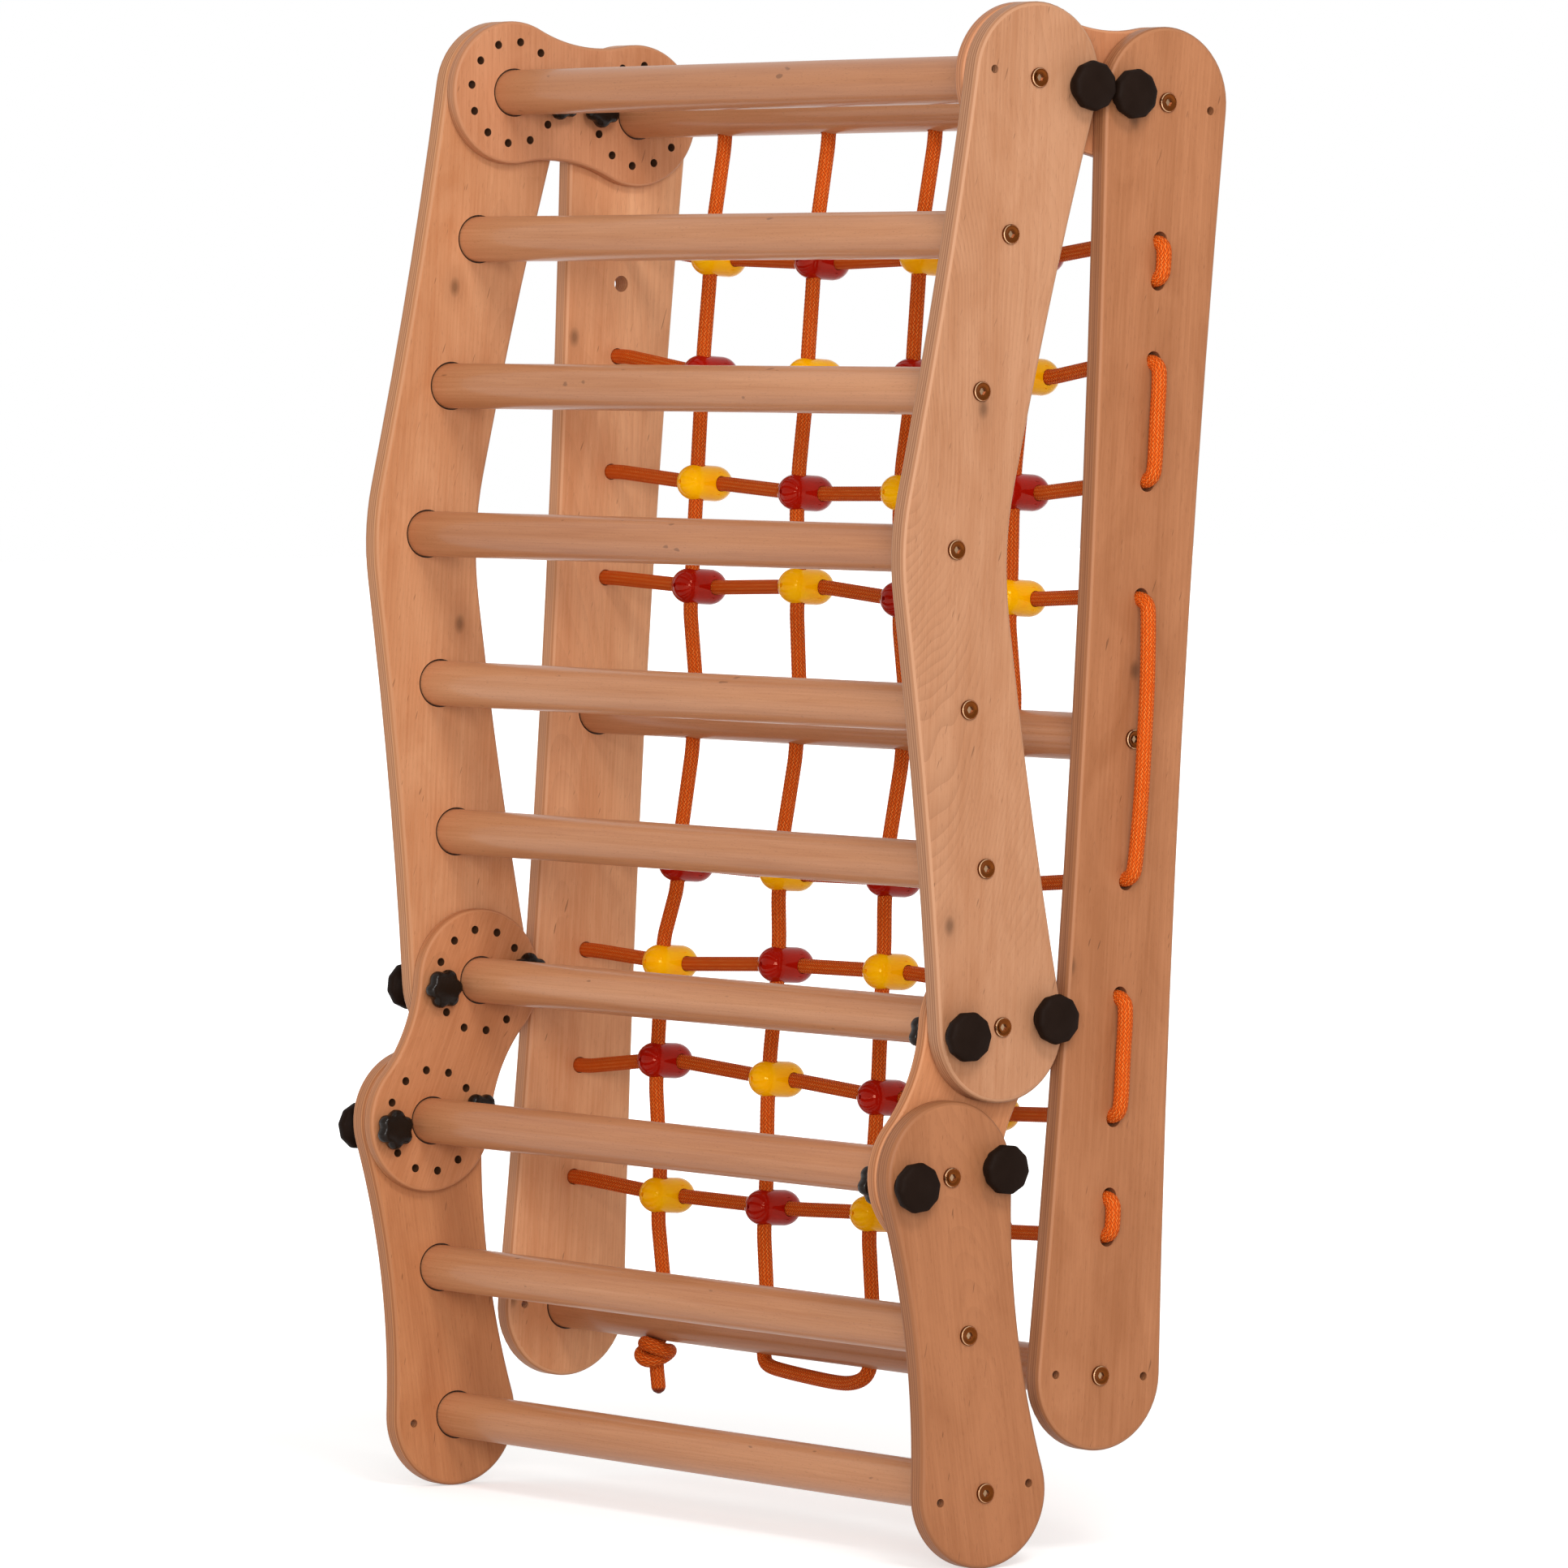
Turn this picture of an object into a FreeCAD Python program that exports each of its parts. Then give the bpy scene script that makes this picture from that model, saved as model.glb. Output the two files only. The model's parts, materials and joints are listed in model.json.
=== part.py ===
import FreeCAD, Part
import math
import os
import Sketcher

# Folding climbing triangle in its folded pose, in millimetres.
# X runs along the rungs, -Y is the front, +Z is up and the front feet stand at Z = 0.
# "lean" is an angle from the vertical: positive leans the lower end towards the front.

Vector = FreeCAD.Vector
Rotation = FreeCAD.Rotation
Placement = FreeCAD.Placement

doc = FreeCAD.newDocument("ClimbingTriangle")

# Driving sizes: name, value, meaning
SIZES = [
    ("overall_width", 752, "outer face to outer face of the side panels"),
    ("panel_thickness", 18, "plywood of the side panels"),
    ("plate_thickness", 12, "plywood of the folding link plates"),
    ("rung_diameter", 36, "beech rungs"),
    ("rung_spacing", 120, "from rung centre to rung centre"),
    ("lobe_radius", 57, "round ends of the panels and plates"),
    ("waist_half_width", 47, "half width of a panel or plate at its waist"),
    ("bend_flat", 13, "straight edge between a waist and the rear side of the bend"),
    ("bend_setback", 3.6, "the bend's rung lies this far inside the corner"),
    ("bend_front_radius", 215, "front edge of the bend"),
    ("bend_rear_radius", 280, "rear edge of the bend"),
    ("rear_half_length", 480, "rear ladder, from its top pivot to its middle rung"),
    ("panel_edge_round", 4, "rounded edges of the panels"),
    ("plate_edge_round", 3, "rounded edges of the link plates"),
    ("rung_edge_round", 1, "chamfer at the rung ends"),
    ("seat_depth", 6, "round seats that hold the rung ends"),
    ("seat_clearance", 0.4, "gap round a rung in its seat"),
    ("turning_gap", 0.2, "end gap of a rung whose seat turns"),
    ("index_radius", 40.7, "circle of lock holes about a pivot"),
    ("index_hole_diameter", 6.5, "lock holes"),
    ("bolt_diameter", 8, "barrel bolts"),
    ("bolt_head_diameter", 15, "flat round bolt heads"),
    ("bolt_head_height", 2.5, "flat round bolt heads"),
    ("bolt_head_bevel", 0.8, "edge of the bolt heads"),
    ("bolt_dish_diameter", 11.5, "shallow dish in the bolt heads"),
    ("bolt_dish_depth", 0.5, "shallow dish in the bolt heads"),
    ("socket_width", 5, "hexagon socket across its flats"),
    ("socket_depth", 2, "hexagon socket"),
    ("bolt_grip", 26, "bolt length inside the rung"),
    ("bolt_hole_clearance", 0.3, "gap round a bolt in a fixed panel"),
    ("running_clearance", 0.05, "gap round a bolt that a panel turns on"),
    ("insert_diameter", 12, "threaded inserts in the rung ends"),
    ("insert_length", 20, "threaded inserts in the rung ends"),
    ("insert_clearance", 0.05, "gap round an insert and its bolt"),
    ("bore_reserve", 3, "rung bore beyond the bolt tip"),
    ("knob_diameter", 38, "outer lock knobs"),
    ("knob_height", 21, "outer lock knobs above the panel"),
    ("knob_hub_diameter", 24, "outer lock knobs at their foot"),
    ("knob_hub_height", 8, "outer lock knobs at their foot"),
    ("knob_edge_round", 3.5, "outer lock knobs"),
    ("knob_crown", 1.2, "rise of the outer knobs' face"),
    ("knob_flute_radius", 9, "finger flutes of the outer knobs"),
    ("knob_flute_depth", 1.2, "finger flutes of the outer knobs"),
    ("star_diameter", 32, "inner star knobs"),
    ("star_height", 15.5, "inner star knobs"),
    ("star_hub_diameter", 18, "inner star knobs at their foot"),
    ("star_hub_height", 4, "inner star knobs at their foot"),
    ("star_edge_round", 2.5, "inner star knobs"),
    ("star_boss_diameter", 15, "raised middle of the inner star knobs"),
    ("star_boss_height", 2, "raised middle of the inner star knobs"),
    ("star_flute_radius", 5, "finger flutes of the inner star knobs"),
    ("star_flute_depth", 3, "finger flutes of the inner star knobs"),
    ("stud_diameter", 6, "studs of the lock knobs"),
    ("stud_end_gap", 0.3, "a stud half ends this far inside its board"),
    ("rope_diameter", 11, "braided rope"),
    ("rope_hole_diameter", 13, "rope holes in panels and rungs"),
    ("rope_standoff", 0.4, "gap between a rope and the face it crosses"),
    ("rope_bend_radius", 9, "rope centre line where it turns out of a hole"),
    ("rope_loop_radius", 14, "rope centre line in the slack loop"),
    ("rope_loop_drop", 24, "slack loop below the bottom rung"),
    ("rope_drop", 15, "most that a crossing hangs below its rope holes"),
    ("column_spacing", 146, "between the upright ropes"),
    ("crossing_offset", 7.5, "each rope from the middle of a bead"),
    ("net_set_forward", 2, "beads in front of the rear panels' middle line"),
    ("bead_diameter", 28.5, "capsule beads at the rope crossings"),
    ("bead_length", 48, "capsule beads, front to back"),
    ("bead_hole_diameter", 12.4, "rope holes in the beads"),
    ("bead_screw_diameter", 3.6, "screw recess in the bead's front end"),
    ("bead_screw_depth", 3, "screw recess in the bead's front end"),
    ("bead_slot_length", 2.6, "small slots beside the rope holes of the beads"),
    ("bead_slot_height", 0.7, "small slots beside the rope holes of the beads"),
    ("bead_slot_depth", 0.7, "small slots beside the rope holes of the beads"),
    ("bead_slot_offset", 8.7, "small slots above and below a bead's middle"),
    ("bead_guide", 18, "straight rope each side of a bead's middle"),
    ("rung_guide", 25, "straight rope each side of a rung's middle"),
    ("hole_guide", 14, "straight rope inside a panel's inner face"),
    ("knot_diameter", 27, "knots at the rope ends"),
    ("knot_gap", 0.4, "between a knot and what it bears on"),
    ("tail_length", 24, "free rope below a knot"),
    ("cut_overrun", 2, "how far cutting tools pass the surface"),
]

# Driving angles in degrees and counts
ANGLES = [
    ("upper_lean", 12.6, "upper half of the front ladder"),
    ("bend_angle", 20, "bend of the upper side panels"),
    ("lock_step", 30, "between neighbouring lock holes"),
    ("top_link_drop", 8.3, "top link below the horizontal, towards the rear"),
    ("rear_lean", 3.6, "rear ladder"),
    ("index_hole_count", 12, "lock holes round each end of a link plate"),
    ("knob_flute_count", 10, "outer lock knobs"),
    ("star_flute_count", 7, "inner star knobs"),
]

sheet = doc.addObject("Spreadsheet::Sheet", "Sizes")
sheet.Label = "Sizes"
for row, (alias, value, meaning) in enumerate(SIZES + ANGLES, start=1):
    sheet.set("A%d" % row, alias)
    sheet.set("B%d" % row, str(value))
    sheet.setAlias("B%d" % row, alias)
    sheet.set("C%d" % row, meaning)
doc.recompute()


def size(alias):
    return float(sheet.get(alias))


# Values worked out from the driving sizes
half_width = size("overall_width") / 2
panel_inner_x = half_width - size("panel_thickness")
plate_inner_x = panel_inner_x - size("plate_thickness")
rung_radius = size("rung_diameter") / 2
rope_radius = size("rope_diameter") / 2
spacing = size("rung_spacing")
rear_length = 2 * size("rear_half_length")
lower_length = 2 * spacing
lobe = size("lobe_radius")
waist = size("waist_half_width")
# A face's edge counts as flat where its rise is under this share of its rounding
flat_share = 0.005
# An arc between two runs of rope takes up to this share of the shorter run
arc_run_share = 0.45
# Runs that turn by less than this angle, in radians, count as one
straight_turn = 1e-4
SIDES = (("left", -1), ("right", 1))


def down(lean):
    """Direction in the side view, as (y, z), of a line that leans by this angle."""
    return (-math.sin(math.radians(lean)), -math.cos(math.radians(lean)))


def step(point, lean, distance):
    direction = down(lean)
    return (point[0] + direction[0] * distance, point[1] + direction[1] * distance)


# Places of the pivots and rungs in the side view, as (y, z), from the top front pivot
lower_lean = size("upper_lean") - size("bend_angle")
mid_link_lean = lower_lean + size("lock_step")
half_bend = math.radians(size("bend_angle") / 2)
setback = size("bend_setback")
across = setback * math.cos(half_bend)
corner_distance = 2 * spacing + math.sqrt(spacing**2 - across**2) + setback * math.sin(half_bend)
bisector_lean = (size("upper_lean") + lower_lean) / 2

place = {"top_front": (0.0, 0.0)}
place["upper_1"] = step(place["top_front"], size("upper_lean"), spacing)
place["upper_2"] = step(place["top_front"], size("upper_lean"), 2 * spacing)
corner = step(place["top_front"], size("upper_lean"), corner_distance)
place["upper_3"] = step(corner, bisector_lean + 90, -setback)
place["middle_upper"] = step(corner, lower_lean, corner_distance)
place["upper_4"] = step(place["middle_upper"], lower_lean, -2 * spacing)
place["upper_5"] = step(place["middle_upper"], lower_lean, -spacing)
place["middle_lower"] = step(place["middle_upper"], mid_link_lean, spacing)
place["lower_1"] = step(place["middle_lower"], lower_lean, spacing)
place["lower_2"] = step(place["middle_lower"], lower_lean, 2 * spacing)
link_slope = math.radians(size("top_link_drop"))
place["top_rear"] = (spacing * math.cos(link_slope), -spacing * math.sin(link_slope))
place["rear_middle"] = step(place["top_rear"], size("rear_lean"), size("rear_half_length"))
place["rear_foot"] = step(place["top_rear"], size("rear_lean"), rear_length)

# The floor lies under the front feet, and the middle of the depth is the origin
floor = place["lower_2"][1] - lobe
lock_reach = size("index_radius") * math.cos(math.radians(lower_lean)) + size("knob_diameter") / 2
front = place["middle_lower"][0] - lock_reach
back = place["top_rear"][0] + lobe
middle = (front + back) / 2
place = {name: (y - middle, z - floor) for name, (y, z) in place.items()}
corner = (corner[0] - middle, corner[1] - floor)


def side_rotation(side):
    """Turns a sketch so that its X runs along the depth, its Y up and its Z outwards."""
    if side > 0:
        return Rotation(Vector(0, 1, 0), Vector(0, 0, 1), Vector(1, 0, 0), "ZXY")
    return Rotation(Vector(0, -1, 0), Vector(0, 0, 1), Vector(-1, 0, 0), "ZXY")


def side_placement(side, distance, point, lean=0.0):
    """Stands a board on one side, its inner face at this distance from the middle."""
    turn = Rotation(Vector(0, 0, 1), -side * lean)
    base = Vector(side * distance, point[0], point[1])
    return Placement(base, side_rotation(side).multiply(turn))


def origin_feature(body, role):
    return next(item for item in body.Origin.OriginFeatures if item.Role == role)


def add_sketch(body, name, role="XY_Plane"):
    sketch = body.newObject("Sketcher::SketchObject", name)
    sketch.AttachmentSupport = [(origin_feature(body, role), "")]
    sketch.MapMode = "FlatFace"
    return sketch


def add_circles(sketch, centres, alias, extra=""):
    """Circles whose diameters follow the sheet."""
    expression = "Sizes.%s%s" % (alias, extra)
    for centre in centres:
        index = sketch.addGeometry(Part.Circle(Vector(centre[0], centre[1], 0), Vector(0, 0, 1), 1), False)
        limit = sketch.addConstraint(Sketcher.Constraint("Diameter", index, 1.0))
        sketch.setExpression("Constraints[%d]" % limit, expression)


def add_arc(sketch, centre, radius, start, end, alias=None):
    """An arc from one angle to another, in degrees and anticlockwise."""
    circle = Part.Circle(Vector(centre[0], centre[1], 0), Vector(0, 0, 1), radius)
    arc = Part.ArcOfCircle(circle, math.radians(start), math.radians(end))
    index = sketch.addGeometry(arc, False)
    if alias:
        limit = sketch.addConstraint(Sketcher.Constraint("Radius", index, radius))
        sketch.setExpression("Constraints[%d]" % limit, "Sizes.%s" % alias)


def add_line(sketch, start, end):
    sketch.addGeometry(Part.LineSegment(Vector(start[0], start[1], 0), Vector(end[0], end[1], 0)), False)


def add_pad(body, sketch, alias):
    pad = body.newObject("PartDesign::Pad", sketch.Name + "Pad")
    pad.Profile = sketch
    pad.setExpression("Length", "Sizes.%s" % alias)
    doc.recompute()
    return pad


def round_face_edges(body, pad, alias):
    """Rounds the outline of both faces of a board."""
    flat = size(alias) * flat_share
    names = []
    for number, edge in enumerate(pad.Shape.Edges, start=1):
        if edge.BoundBox.ZLength < flat:
            names.append("Edge%d" % number)
    fillet = body.newObject("PartDesign::Fillet", pad.Name + "Round")
    fillet.Base = (pad, names)
    fillet.setExpression("Radius", "Sizes.%s" % alias)
    doc.recompute()


def add_pocket(body, sketch, alias):
    """Cuts outwards from the inner face, to a depth from the sheet."""
    pocket = body.newObject("PartDesign::Pocket", sketch.Name + "Cut")
    pocket.Profile = sketch
    pocket.Reversed = True
    pocket.setExpression("Length", "Sizes.%s" % alias)
    doc.recompute()


def on_circle(centre, angle, radius):
    turn = math.radians(angle)
    return (centre[0] + radius * math.cos(turn), centre[1] + radius * math.sin(turn))


# A straight board with two round ends and hollow sides, its first pivot at the
# sketch's origin and its second one straight below
def waist_arc_radius(length):
    """Hollow side that is tangent to both round ends and reaches the waist halfway."""
    return (waist**2 + length**2 - lobe**2) / (2 * (lobe - waist))


def draw_straight_outline(sketch, length):
    half = length / 2
    hollow = waist_arc_radius(half)
    lean = math.degrees(math.atan2(half, waist + hollow))
    add_arc(sketch, (0, 0), lobe, -lean, 180 + lean, "lobe_radius")
    add_arc(sketch, (0, -length), lobe, 180 - lean, 360 + lean, "lobe_radius")
    add_arc(sketch, (-waist - hollow, -half), hollow, -lean, lean)
    add_arc(sketch, (waist + hollow, -half), hollow, 180 - lean, 180 + lean)


# The bent board: both halves run from a round end past a waist to the bend
def draw_bent_outline(sketch, top, bend, foot, side):
    """Outline through points that are given in the side view."""
    turn = math.radians(size("bend_angle") / 2)
    reach = corner_distance - size("bend_flat") - (waist + size("bend_rear_radius")) * math.tan(turn)
    hollow = waist_arc_radius(reach)
    upper, lower = size("upper_lean"), lower_lean

    def flat(point):
        return (side * point[0], point[1])

    def offset(point, lean, along, aside):
        at = step(point, lean, along)
        return step(at, lean - 90, aside)

    def swept(centre, radius, first, second, alias=None):
        """The shorter arc between two points of one circle."""
        centre, first, second = flat(centre), flat(first), flat(second)
        angles = [math.degrees(math.atan2(p[1] - centre[1], p[0] - centre[0])) for p in (first, second)]
        if (angles[1] - angles[0]) % 360 > 180:
            angles.reverse()
        add_arc(sketch, centre, radius, angles[0], angles[0] + (angles[1] - angles[0]) % 360, alias)

    ends = {}
    for front in (-1, 1):
        hollow_centres = []
        touches = []
        waists = []
        for pivot, lean, sense in ((top, upper, 1), (foot, lower, -1)):
            centre = offset(pivot, lean, sense * reach, front * (waist + hollow))
            away = math.hypot(centre[0] - pivot[0], centre[1] - pivot[1])
            touches.append((pivot[0] + (centre[0] - pivot[0]) * lobe / away,
                            pivot[1] + (centre[1] - pivot[1]) * lobe / away))
            waists.append(offset(pivot, lean, sense * reach, front * waist))
            hollow_centres.append(centre)
        ends[front] = touches
        for centre, touch, narrow in zip(hollow_centres, touches, waists):
            swept(centre, hollow, touch, narrow)
        radius_name = "bend_front_radius" if front < 0 else "bend_rear_radius"
        radius = size(radius_name)
        shift = -front * waist * math.tan(turn)
        tangent = radius * math.tan(turn)
        start = offset(bend, upper, shift - tangent, front * waist)
        finish = offset(bend, lower, tangent - shift, front * waist)
        centre = offset(bend, upper, shift - tangent, front * waist + radius)
        swept(centre, radius, start, finish, radius_name)
        add_line(sketch, flat(waists[0]), flat(start))
        add_line(sketch, flat(finish), flat(waists[1]))
    for number, (pivot, lean, sense) in enumerate(((top, upper, -1), (foot, lower, 1))):
        tip = step(pivot, lean, sense * lobe)
        swept(pivot, lobe, ends[-1][number], tip, "lobe_radius")
        swept(pivot, lobe, tip, ends[1][number], "lobe_radius")


# Side panels, link plates and their holes
boards = {}


def make_board(name, side, distance, point, lean, draw, thickness, rounding):
    body = doc.addObject("PartDesign::Body", name)
    body.Label = name
    body.Placement = side_placement(side, distance, point, lean)
    outline = add_sketch(body, name + "_outline")
    draw(outline)
    pad = add_pad(body, outline, thickness)
    round_face_edges(body, pad, rounding)
    boards[name] = body
    return body


def cut_seats(body, centres):
    sketch = add_sketch(body, body.Name + "_seats")
    add_circles(sketch, centres, "rung_diameter", " + 2 * Sizes.seat_clearance")
    add_pocket(body, sketch, "seat_depth")


def cut_holes(body, title, centres, alias, extra, thickness):
    sketch = add_sketch(body, body.Name + "_" + title)
    add_circles(sketch, centres, alias, extra)
    add_pocket(body, sketch, thickness)


def lock_pair(centre, angle):
    radius = size("index_radius")
    return [on_circle(centre, angle, radius), on_circle(centre, angle + 180, radius)]


def lock_ring(centre, angle):
    count = int(size("index_hole_count"))
    return [on_circle(centre, angle + turn * 360 / count, size("index_radius")) for turn in range(count)]


FIXED = " + 2 * Sizes.bolt_hole_clearance"
RUNNING = " + 2 * Sizes.running_clearance"
# Rope holes on both sides of the middle rung, as shares of the rear ladder's half length
rope_hole_shares = (0.224, 0.402, 0.596, 0.718, 0.784)
hole_shares = sorted([-share for share in rope_hole_shares] + list(rope_hole_shares))
hole_stations = [size("rear_half_length") * (1 + share) for share in hole_shares]

upper_own = [place["upper_%d" % number] for number in range(1, 6)]
for side_name, side in SIDES:
    # The upper panel's sketch is drawn in the side view, so its board isn't turned
    def draw_upper(sketch, side=side):
        draw_bent_outline(sketch, place["top_front"], corner, place["middle_upper"], side)

    def seen(points, side=side):
        return [(side * point[0], point[1]) for point in points]

    upper = make_board("upper_panel_" + side_name, side, panel_inner_x, (0, 0), 0,
                       draw_upper, "panel_thickness", "panel_edge_round")
    cut_seats(upper, seen(upper_own))
    cut_holes(upper, "bolt_holes", seen(upper_own), "bolt_diameter", FIXED, "panel_thickness")
    upper_pivots = [place["top_front"], place["middle_upper"]]
    cut_holes(upper, "pivots", seen(upper_pivots), "bolt_diameter", RUNNING, "panel_thickness")
    locks = lock_pair(place["top_front"], -size("top_link_drop"))
    locks += lock_pair(place["middle_upper"], -lower_lean)
    cut_holes(upper, "locks", seen(locks), "index_hole_diameter", "", "panel_thickness")

    # The rear panel is drawn upright and leans with its board
    rear = make_board("rear_panel_" + side_name, side, panel_inner_x, place["top_rear"], size("rear_lean"),
                      lambda sketch: draw_straight_outline(sketch, rear_length),
                      "panel_thickness", "panel_edge_round")
    rear_own = [(0, -size("rear_half_length")), (0, -rear_length)]
    cut_seats(rear, rear_own)
    cut_holes(rear, "bolt_holes", [(0, 0)] + rear_own, "bolt_diameter", FIXED, "panel_thickness")
    lock_tilt = side * (size("rear_lean") - size("top_link_drop"))
    locks = lock_pair((0, 0), lock_tilt) + lock_pair((0, -rear_length), 0)
    cut_holes(rear, "locks", locks, "index_hole_diameter", "", "panel_thickness")
    rope_holes = [(0, -station) for station in hole_stations]
    cut_holes(rear, "rope_holes", rope_holes, "rope_hole_diameter", "", "panel_thickness")

    lower = make_board("lower_panel_" + side_name, side, panel_inner_x, place["middle_lower"], lower_lean,
                       lambda sketch: draw_straight_outline(sketch, lower_length),
                       "panel_thickness", "panel_edge_round")
    lower_own = [(0, -spacing), (0, -lower_length)]
    cut_seats(lower, lower_own)
    cut_holes(lower, "bolt_holes", lower_own, "bolt_diameter", FIXED, "panel_thickness")
    cut_holes(lower, "pivot", [(0, 0)], "bolt_diameter", RUNNING, "panel_thickness")
    locks = lock_pair((0, 0), 0) + lock_pair((0, -lower_length), 0)
    cut_holes(lower, "locks", locks, "index_hole_diameter", "", "panel_thickness")

    top_lean = size("top_link_drop") - 90
    for link_name, start, lean in (("top_link_plate_", "top_front", top_lean),
                                   ("mid_link_plate_", "middle_upper", mid_link_lean)):
        plate = make_board(link_name + side_name, side, plate_inner_x, place[start], lean,
                           lambda sketch: draw_straight_outline(sketch, spacing),
                           "plate_thickness", "plate_edge_round")
        both = [(0, 0), (0, -spacing)]
        cut_seats(plate, both)
        cut_holes(plate, "pivots", both, "bolt_diameter", RUNNING, "plate_thickness")
        rings = lock_ring(both[0], 90) + lock_ring(both[1], 90)
        cut_holes(plate, "locks", rings, "index_hole_diameter", "", "plate_thickness")


# Rungs: a chamfered bar with a bore at each end and, in the net, upright rope holes
def add_cylinder(name, radius, height, placement):
    solid = doc.addObject("Part::Cylinder", name)
    solid.setExpression("Radius", radius)
    solid.setExpression("Height", height)
    solid.Placement = placement
    return solid


def along_x(x, point=(0, 0)):
    """Turns a cylinder so that it runs along +X from this place."""
    return Placement(Vector(x, point[0], point[1]), Rotation(Vector(0, 1, 0), 90))


column_xs = [size("column_spacing") * (number - 1.5) for number in range(4)]


def make_rung(name, point, end_x, end_expression, rope_lean=None):
    bar = add_cylinder(name + "_bar", "Sizes.rung_diameter / 2", "2 * (%s)" % end_expression, along_x(-end_x))
    doc.recompute()
    soft = doc.addObject("Part::Chamfer", name + "_chamfer")
    soft.Base = bar
    chamfer = size("rung_edge_round")
    soft.Edges = [(1, chamfer, chamfer), (3, chamfer, chamfer)]
    deep = "Sizes.bolt_grip + Sizes.bore_reserve + Sizes.cut_overrun"
    bore = "Sizes.insert_diameter / 2 + Sizes.insert_clearance"
    run = size("cut_overrun")
    depth = size("bolt_grip") + size("bore_reserve")
    tools = [add_cylinder(name + "_bore_left", bore, deep, along_x(-end_x - run)),
             add_cylinder(name + "_bore_right", bore, deep, along_x(end_x - depth))]
    if rope_lean is not None:
        across = "Sizes.rung_diameter + 2 * Sizes.cut_overrun"
        turn = Rotation(Vector(1, 0, 0), -rope_lean)
        for number, x in enumerate(column_xs, start=1):
            start = turn.multVec(Vector(0, 0, -rung_radius - run))
            spot = Placement(Vector(x, start.y, start.z), turn)
            tools.append(add_cylinder("%s_rope_hole_%d" % (name, number), "Sizes.rope_hole_diameter / 2",
                                      across, spot))
    cutter = doc.addObject("Part::Compound", name + "_cutter")
    cutter.Links = tools
    rung = doc.addObject("Part::Cut", name)
    rung.Base = soft
    rung.Tool = cutter
    rung.Label = name
    rung.Placement = Placement(Vector(0, point[0], point[1]), Rotation())
    return rung


seat_x = panel_inner_x + size("seat_depth")
pivot_seat_x = plate_inner_x + size("seat_depth")
turning_x = pivot_seat_x - size("turning_gap")
FIXED_END = "Sizes.overall_width / 2 - Sizes.panel_thickness + Sizes.seat_depth"
PIVOT_END = FIXED_END + " - Sizes.plate_thickness"
TURNING_END = PIVOT_END + " - Sizes.turning_gap"
rear_lean = size("rear_lean")
rungs = [make_rung("upper_rung_%d" % number, place["upper_%d" % number], seat_x, FIXED_END)
         for number in range(1, 6)]
rungs += [make_rung("lower_rung_%d" % number, place["lower_%d" % number], seat_x, FIXED_END)
          for number in (1, 2)]
rungs += [make_rung("top_front_rung", place["top_front"], pivot_seat_x, PIVOT_END),
          make_rung("mid_link_rung_upper", place["middle_upper"], pivot_seat_x, PIVOT_END),
          make_rung("mid_link_rung_lower", place["middle_lower"], pivot_seat_x, PIVOT_END),
          make_rung("top_rear_rung", place["top_rear"], turning_x, TURNING_END, rear_lean),
          make_rung("rear_rung_middle", place["rear_middle"], seat_x, FIXED_END, rear_lean),
          make_rung("rear_rung_bottom", place["rear_foot"], seat_x, FIXED_END, rear_lean)]


# Bolts: a bevelled round head with a shallow dish and a hexagon socket, its shank along -Z
def turn_profile(body, profile):
    """Revolves a closed half profile about Z. A corner may carry a radius that rounds it."""
    sketch = add_sketch(body, body.Name + "_profile", "XZ_Plane")
    last = Vector(profile[-1][0], profile[-1][1], 0)
    start = last
    corners = [(Vector(corner[0], corner[1], 0), corner[2] if len(corner) > 2 else 0) for corner in profile]
    for number, (corner, radius) in enumerate(corners):
        if radius:
            before = corners[number - 1][0].sub(corner).normalize()
            after = corners[(number + 1) % len(corners)][0].sub(corner).normalize()
            half = before.getAngle(after) / 2
            back_off = radius / math.tan(half)
            centre = corner.add(before.add(after).normalize() * (radius / math.sin(half)))
            bulge = centre.add(corner.sub(centre).normalize() * radius)
            finish = corner.add(after * back_off)
            add_line(sketch, last, corner.add(before * back_off))
            sketch.addGeometry(Part.Arc(corner.add(before * back_off), bulge, finish), False)
            last = finish
        elif (corner.sub(last)).Length > 0:
            add_line(sketch, last, corner)
            last = corner
    if last.sub(start).Length > 0:
        add_line(sketch, last, start)
    turned = body.newObject("PartDesign::Revolution", body.Name + "_turned")
    turned.Profile = sketch
    turned.ReferenceAxis = (sketch, ["V_Axis"])
    turned.Angle = 360
    doc.recompute()
    return turned


def make_bolt(name, length):
    body = doc.addObject("PartDesign::Body", name)
    body.Label = name
    shank = size("bolt_diameter") / 2
    head = size("bolt_head_diameter") / 2
    top = size("bolt_head_height")
    bevel = size("bolt_head_bevel")
    dish = size("bolt_dish_diameter") / 2
    floor_of_dish = top - size("bolt_dish_depth")
    turn_profile(body, [(0, -length), (shank, -length), (shank, 0), (head, 0), (head, top - bevel),
                        (head - bevel, top), (dish, top), (shank, floor_of_dish), (0, floor_of_dish)])
    socket = add_sketch(body, name + "_socket")
    socket.setExpression("AttachmentOffset.Base.z", "Sizes.bolt_head_height")
    reach = size("socket_width") / 2 / math.cos(math.radians(30))
    corners = [on_circle((0, 0), 60 * turn, reach) for turn in range(6)]
    for turn in range(6):
        add_line(socket, corners[turn - 1], corners[turn])
    pocket = body.newObject("PartDesign::Pocket", name + "_socket_cut")
    pocket.Profile = socket
    pocket.setExpression("Length", "Sizes.socket_depth")
    doc.recompute()
    return body


bolt_in_panel = size("bolt_grip") + size("panel_thickness") - size("seat_depth")
ladder_bolt = make_bolt("ladder_bolt", bolt_in_panel)
pivot_bolt = make_bolt("pivot_bolt", bolt_in_panel + size("plate_thickness"))

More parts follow.
